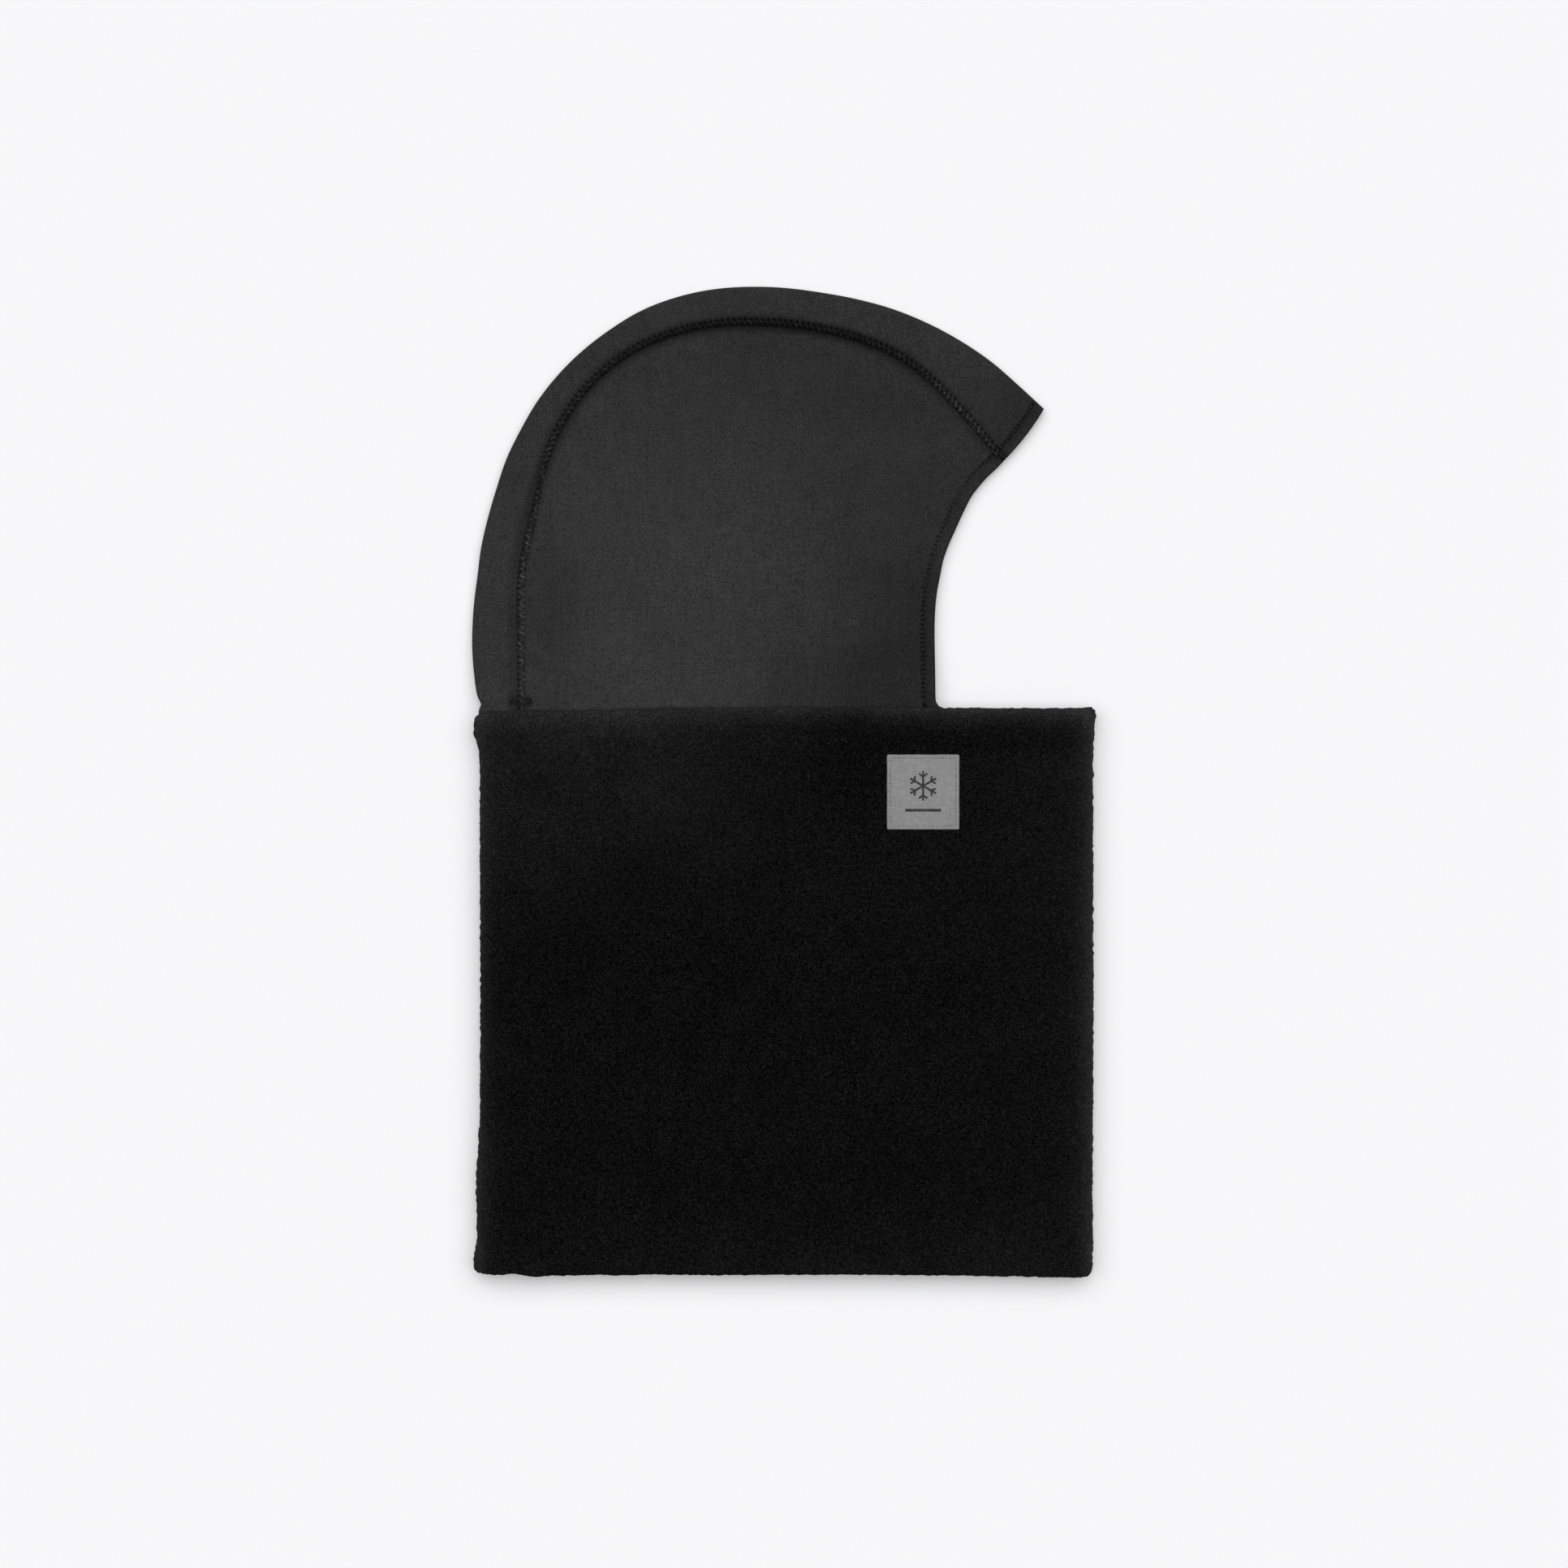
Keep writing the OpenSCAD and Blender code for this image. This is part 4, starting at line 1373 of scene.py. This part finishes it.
def hem_stitches(side):
    """One row of short stitches round the opening: over the fabric, then down through it."""
    per_stitch = 8
    row = opening.off(opening.s, np.full(len(opening.s), -HEM_ROW))
    # keep clear of the inside corner where the two edges meet at the seam
    path = Path(row[np.abs(opening.near(row)[1]) > HEM_ROW - 0.2])
    n = int((path.length - 2.0) / HEM_PITCH) * per_stitch
    s = 1.0 + np.arange(n) * HEM_PITCH / per_stitch
    up = np.sin(np.pi * np.clip((s / HEM_PITCH) % 1.0 / 0.64, 0, 1)) ** 0.6
    xy = path.at(s)
    cloth = near_height(xy, measure(xy)) if side == "near" else far_base(*xy.T) + 0.1
    z = cloth + OUTWARD[side] * (-0.42 + 0.52 * up)
    b = Build()
    thread(b, np.column_stack([xy, z]), 0.19, rows=6)
    o = b.obj(f"{side}_hem_stitches", HEM_THREAD)
    hood_piece(o, f"{side}_hem_stitching")


def bar_tack(side):
    """Loose bar tack across the seam's lower end: ragged back-and-forth stitches."""
    b = Build()
    rng = np.random.RandomState(11)
    centre = np.array([-110.7, 34.2])
    # each layer: zigzags, shift along y, swing, height off the cloth, half length
    layers = (
        (15, 0.9, 1.5, 0.30, 4.4),
        (12, -0.7, 1.1, 0.36, 4.9),
        (9, -1.3, 0.7, 0.30, 5.1),
    )
    for k, (zigzags, shift, swing, height, half) in enumerate(layers):
        n = 2 * zigzags + 1
        x = np.linspace(-half, half, n) + rng.uniform(-0.24, 0.24, n)
        y = shift + swing * np.where(np.arange(n) % 2, 1, -1) * rng.uniform(0.35, 1.0, n)
        y *= 1 - 0.45 * (np.abs(x) / half) ** 3
        xy = centre + spline(np.column_stack([x, y]), samples=5)
        ripple = 0.10 * np.sin(np.arange(len(xy)) * 0.9)
        z = BASE[side](*xy.T) + OUTWARD[side] * (height + ripple)
        rect = (0, 0.3 * k, 1, 0.28 + 0.3 * k)
        thread(b, np.column_stack([xy, z]), 0.15, rect=rect, rows=3)
    hood_piece(b.obj(f"{side}_seam_bartack", TACK), f"{side}_seam_tack")


for stitching in (flatlock, hem_stitches, bar_tack):
    for side in ("near", "far"):
        stitching(side)

# --------------------------------------------------------------------------- tube: inner seams


def overlock_ring(name, y, node, outward):
    """Overlock stitches round a mouth, on the wall's inner face."""
    base = loft(columns(130, 14, 130), np.array([(y, WALL + 0.12)]))[:, 0]
    closed = np.vstack([base, base[:1]])
    s = np.concatenate([[0], np.cumsum(np.linalg.norm(np.diff(closed, axis=0), axis=1))])
    stitches, per_stitch = int(s[-1] / 2.6), 6
    q = np.linspace(0, s[-1], stitches * per_stitch, endpoint=False)
    edge = np.stack([np.interp(q, s, closed[:, k]) for k in range(3)], 1)
    zigzag = edge.copy()
    sway = np.abs((q / s[-1] * stitches) % 1.0 * 2 - 1)
    zigzag[:, 1] += outward * (-1.1 + 2.2 * sway)
    edge[:, 1] += outward * 1.2
    b = Build()
    thread(b, zigzag, 0.2, sides=5, rows=12, closed=True)
    thread(b, edge, 0.22, sides=5, rect=(0, 0.9, 1, 1), rows=4, closed=True)
    tube_piece(b.obj(name, THREAD_FLEECE), node)


def back_seam(name, node):
    """Overlocked seam allowance down the tube: a long coil of thread round a flat core."""
    low, high = box_mm(node)
    mid = (low + high) / 2
    turns = int((high[1] - low[1]) / 3.0)
    t = np.linspace(0, 1, turns * 8 + 1)
    angle = TURN * t * turns
    y = low[1] + 1 + (high[1] - low[1] - 2) * t
    coil = np.column_stack([mid[0] + 1.0 * np.cos(angle), y, mid[2] + 0.55 * np.sin(angle)])
    b = Build()
    thread(b, coil, 0.25, sides=5, rows=10)
    y = np.linspace(low[1], high[1], 120)
    core = np.column_stack([np.full_like(y, mid[0]), y, np.full_like(y, mid[2])])
    thread(b, core, 0.8, sides=8, rect=(0, 0.9, 1, 1), rows=4, flat=0.5)
    tube_piece(b.obj(name, THREAD_FLEECE), node)


def care_tape():
    """Blank satin tape, folded into a loop and caught in the lining's back seam."""
    low, high = box_mm("care_label")
    t = np.linspace(-1, 1, 81)
    x = low[0] + (high[0] - low[0]) * (1 - np.abs(t))
    z = (low[2] + high[2]) / 2 + 0.34 * np.tanh(t * 9)
    y = np.linspace(low[1] + 1, high[1] - 1, 30)
    x, y = np.meshgrid(x, y, indexing="ij")
    z = z[:, None] + 0.12 * NOISE_A(x / 9, y / 9)
    p = np.stack([x, y, z], -1)
    half_thickness = normals(p) * 0.08
    b = Build()
    b.grid(p + half_thickness, rect=(0, 0, 1, 0.49))
    b.grid(p - half_thickness, flip=True, rect=(0, 0.51, 1, 1))
    tube_piece(b.obj("care_tape", TAPE), "care_label")


overlock_ring("mouth_seam_overlock", 24.6, "mouth_seam", outward=-1)
overlock_ring("hem_seam_overlock", -202.6, "hem_seam", outward=1)
back_seam("outer_back_overlock", "outer_back_seam")
back_seam("lining_back_overlock", "lining_back_seam")
care_tape()

# --------------------------------------------------------------------------- label

LABEL_STITCH_INSET = 1.45


def patch_surface(x, y):
    """A smoothed copy of the fleece under the label, which the stiff weave bridges."""
    z = 0.0
    for dx in (-9, 0, 9):
        for dy in (-9, 0, 9):
            under_x = np.clip(x + dx, FOLD_BACK_X, FOLD_FRONT_X)
            z = z + (TUBE_MID_Z + lift(under_x, y + dy)) / 9.0
    return z


def label_z(x, y):
    ripple = NOISE_A((x - LABEL_MID[0]) / 7, (y - LABEL_MID[1]) / 7, 3.3)
    return patch_surface(x, y) + 0.62 + 0.07 * ripple


def label():
    corner_r = 0.9
    u, v = np.meshgrid(np.linspace(-1, 1, 72), np.linspace(-1, 1, 76), indexing="ij")
    x, y = u * LABEL_W / 2, v * LABEL_H / 2
    # small corner radius and slightly uneven edges
    inner_x, inner_y = LABEL_W / 2 - corner_r, LABEL_H / 2 - corner_r
    past_x, past_y = np.abs(x) - inner_x, np.abs(y) - inner_y
    corner = (past_x > 0) & (past_y > 0)
    r = np.hypot(past_x, past_y)
    pull = np.where(corner & (r > corner_r), corner_r / np.maximum(r, 1e-9), 1.0)
    x = np.where(corner, np.sign(x) * (inner_x + past_x * pull), x)
    y = np.where(corner, np.sign(y) * (inner_y + past_y * pull), y)
    x = x + 0.10 * NOISE_C(y / 6.0, 1.0) * u**3
    y = y + 0.10 * NOISE_C(x / 6.0, 8.0) * v**3
    inset = np.minimum(LABEL_W / 2 - np.abs(x), LABEL_H / 2 - np.abs(y))
    x, y = x + LABEL_MID[0], y + LABEL_MID[1]
    z = label_z(x, y) - 0.42 * rounded(inset, 0.7)
    z = z - 0.20 * bell(inset, LABEL_STITCH_INSET, 0.4)
    top = np.stack([x, y, z], -1)
    bottom = np.stack([x, y, patch_surface(x, y) - 0.25], -1)
    b = Build()
    first = b.grid(top, rect=(0.01, 0.01, 0.8, 0.99), flip=faces_down(top, 5, 5))
    turn_over = not faces_down(bottom, 5, 5)
    b.grid(bottom[::6, ::6], rect=(0.82, 0.01, 0.99, 0.4), flip=turn_over)
    skirt(b, first, top, bottom[..., 2], rect=(0.82, 0.5, 0.99, 0.55))
    tube_piece(b.obj("label_patch_weave", LABEL), "label_patch")


def label_stitches():
    pitch, per_stitch = 1.55, 7
    w, h = LABEL_W / 2 - LABEL_STITCH_INSET, LABEL_H / 2 - LABEL_STITCH_INSET
    corners = np.array([(-w, -h), (w, -h), (w, h), (-w, h), (-w, -h)])
    sides = [np.linspace(corners[i], corners[i + 1], 40)[:-1] for i in range(4)]
    path = Path(np.vstack(sides + [corners[-1:]]))
    n = int(round(path.length / pitch)) * per_stitch
    xy = path.at(np.arange(n) * path.length / n) + LABEL_MID[:2]
    phase = (np.arange(n) / per_stitch) % 1.0
    up = np.sin(np.pi * np.clip(phase / 0.72, 0, 1)) ** 0.5
    z = label_z(*xy.T) - 0.36 + 0.42 * up
    b = Build()
    thread(b, np.column_stack([xy, z]), 0.17, rows=4, closed=True)
    tube_piece(b.obj("label_stitches", LABEL_THREAD), "label_stitching")


def label_mark():
    """A plain six-armed star of strokes over one rule."""
    b = Build()

    def bar(mid_x, mid_y, length, width, angle):
        along = np.linspace(-0.5, 0.5, max(4, int(length / 0.5))) * length
        across = np.linspace(-0.5, 0.5, 5) * width
        t, u = np.meshgrid(along, across, indexing="ij")
        x = LABEL_MID[0] + mid_x + t * math.cos(angle) - u * math.sin(angle)
        y = LABEL_MID[1] + mid_y + t * math.sin(angle) + u * math.cos(angle)
        inset = np.minimum(length / 2 - np.abs(t), width / 2 - np.abs(u))
        z = label_z(x, y) + 0.03 + 0.10 * np.clip(inset / 0.12, 0, 1)
        p = np.stack([x, y, z], -1)
        first = b.grid(p, flip=faces_down(p, 1, 1), rect=(0.02, 0.02, 0.98, 0.98))
        skirt(b, first, p, z - 0.3, rect=(0.5, 0.5, 0.5, 0.5))

    star_y, arm, barb = 2.6, 6.2, 2.2
    for k in range(3):
        bar(0, star_y, 2 * arm, 0.85, math.radians(90 + 60 * k))
    for k in range(6):
        a = math.radians(90 + 60 * k)
        for side in (-1, 1):
            way = a + side * math.radians(52)
            x = 0.62 * arm * math.cos(a) + barb / 2 * math.cos(way)
            y = 0.62 * arm * math.sin(a) + barb / 2 * math.sin(way)
            bar(x, star_y + y, barb, 0.8, way)
    bar(0, -7.6, 15.0, 1.2, 0)
    o = b.obj("label_mark", MARK)
    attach(o, "neck_tube")


label()
label_stitches()
label_mark()

# --------------------------------------------------------------------------- studio (metres)


def floor():
    n, half = 24, 4.0
    g = np.linspace(-half, half, n)
    x, y = np.meshgrid(g, g, indexing="ij")
    v = np.column_stack([x.ravel(), y.ravel(), np.full(n * n, -0.0001)])
    corners = [i * n + j for i in range(n - 1) for j in range(n - 1)]
    me = bpy.data.meshes.new("floor")
    me.from_pydata(v.tolist(), [], [(k, k + n, k + n + 1, k + 1) for k in corners])
    me.materials.append(floor_material())
    o = bpy.data.objects.new("floor", me)
    bpy.context.scene.collection.objects.link(o)


def backdrop():
    """White all round: seen pale, but filling only dimly."""
    world = bpy.data.worlds.new("studio")
    bpy.context.scene.world = world
    world.use_nodes = True
    tree = world.node_tree
    background = tree.nodes["Background"]
    rays = tree.nodes.new("ShaderNodeLightPath")
    level = tree.nodes.new("ShaderNodeMapRange")
    level.inputs["To Min"].default_value = 0.10
    level.inputs["To Max"].default_value = 0.93
    tree.links.new(rays.outputs["Is Camera Ray"], level.inputs["Value"])
    tree.links.new(level.outputs[0], background.inputs["Strength"])
    background.inputs["Color"].default_value = (1, 1, 1, 1)


def lights():
    """A wide soft light overhead, in two halves that lean each way along X."""
    lean_y, lean_x = math.radians(-13), math.radians(18)
    for side in (-1, 1):
        sun = bpy.data.lights.new("soft_top_light", "SUN")
        sun.energy = 1.44
        sun.angle = math.radians(64)
        o = bpy.data.objects.new("soft_top_light", sun)
        o.rotation_euler = (lean_y, lean_x * side, 0)
        bpy.context.scene.collection.objects.link(o)


def camera():
    """Straight above, framing view_width at the height of the tube's middle."""
    view_width, middle_z = 0.660744, 0.007
    cam = bpy.data.cameras.new("camera")
    cam.type = "PERSP"
    cam.lens = 100
    cam.sensor_width = 36
    cam.clip_start, cam.clip_end = 0.05, 30
    o = bpy.data.objects.new("camera", cam)
    o.location = (0.0001, -0.0007, middle_z + view_width * cam.lens / cam.sensor_width)
    o.rotation_euler = (0, 0, 0)
    scene = bpy.context.scene
    scene.collection.objects.link(o)
    scene.camera = o
    scene.view_settings.view_transform = "Standard"
    scene.view_settings.look = "None"
    scene.view_settings.exposure = 0.0
    scene.view_settings.gamma = 1.0


floor()
backdrop()
lights()
camera()
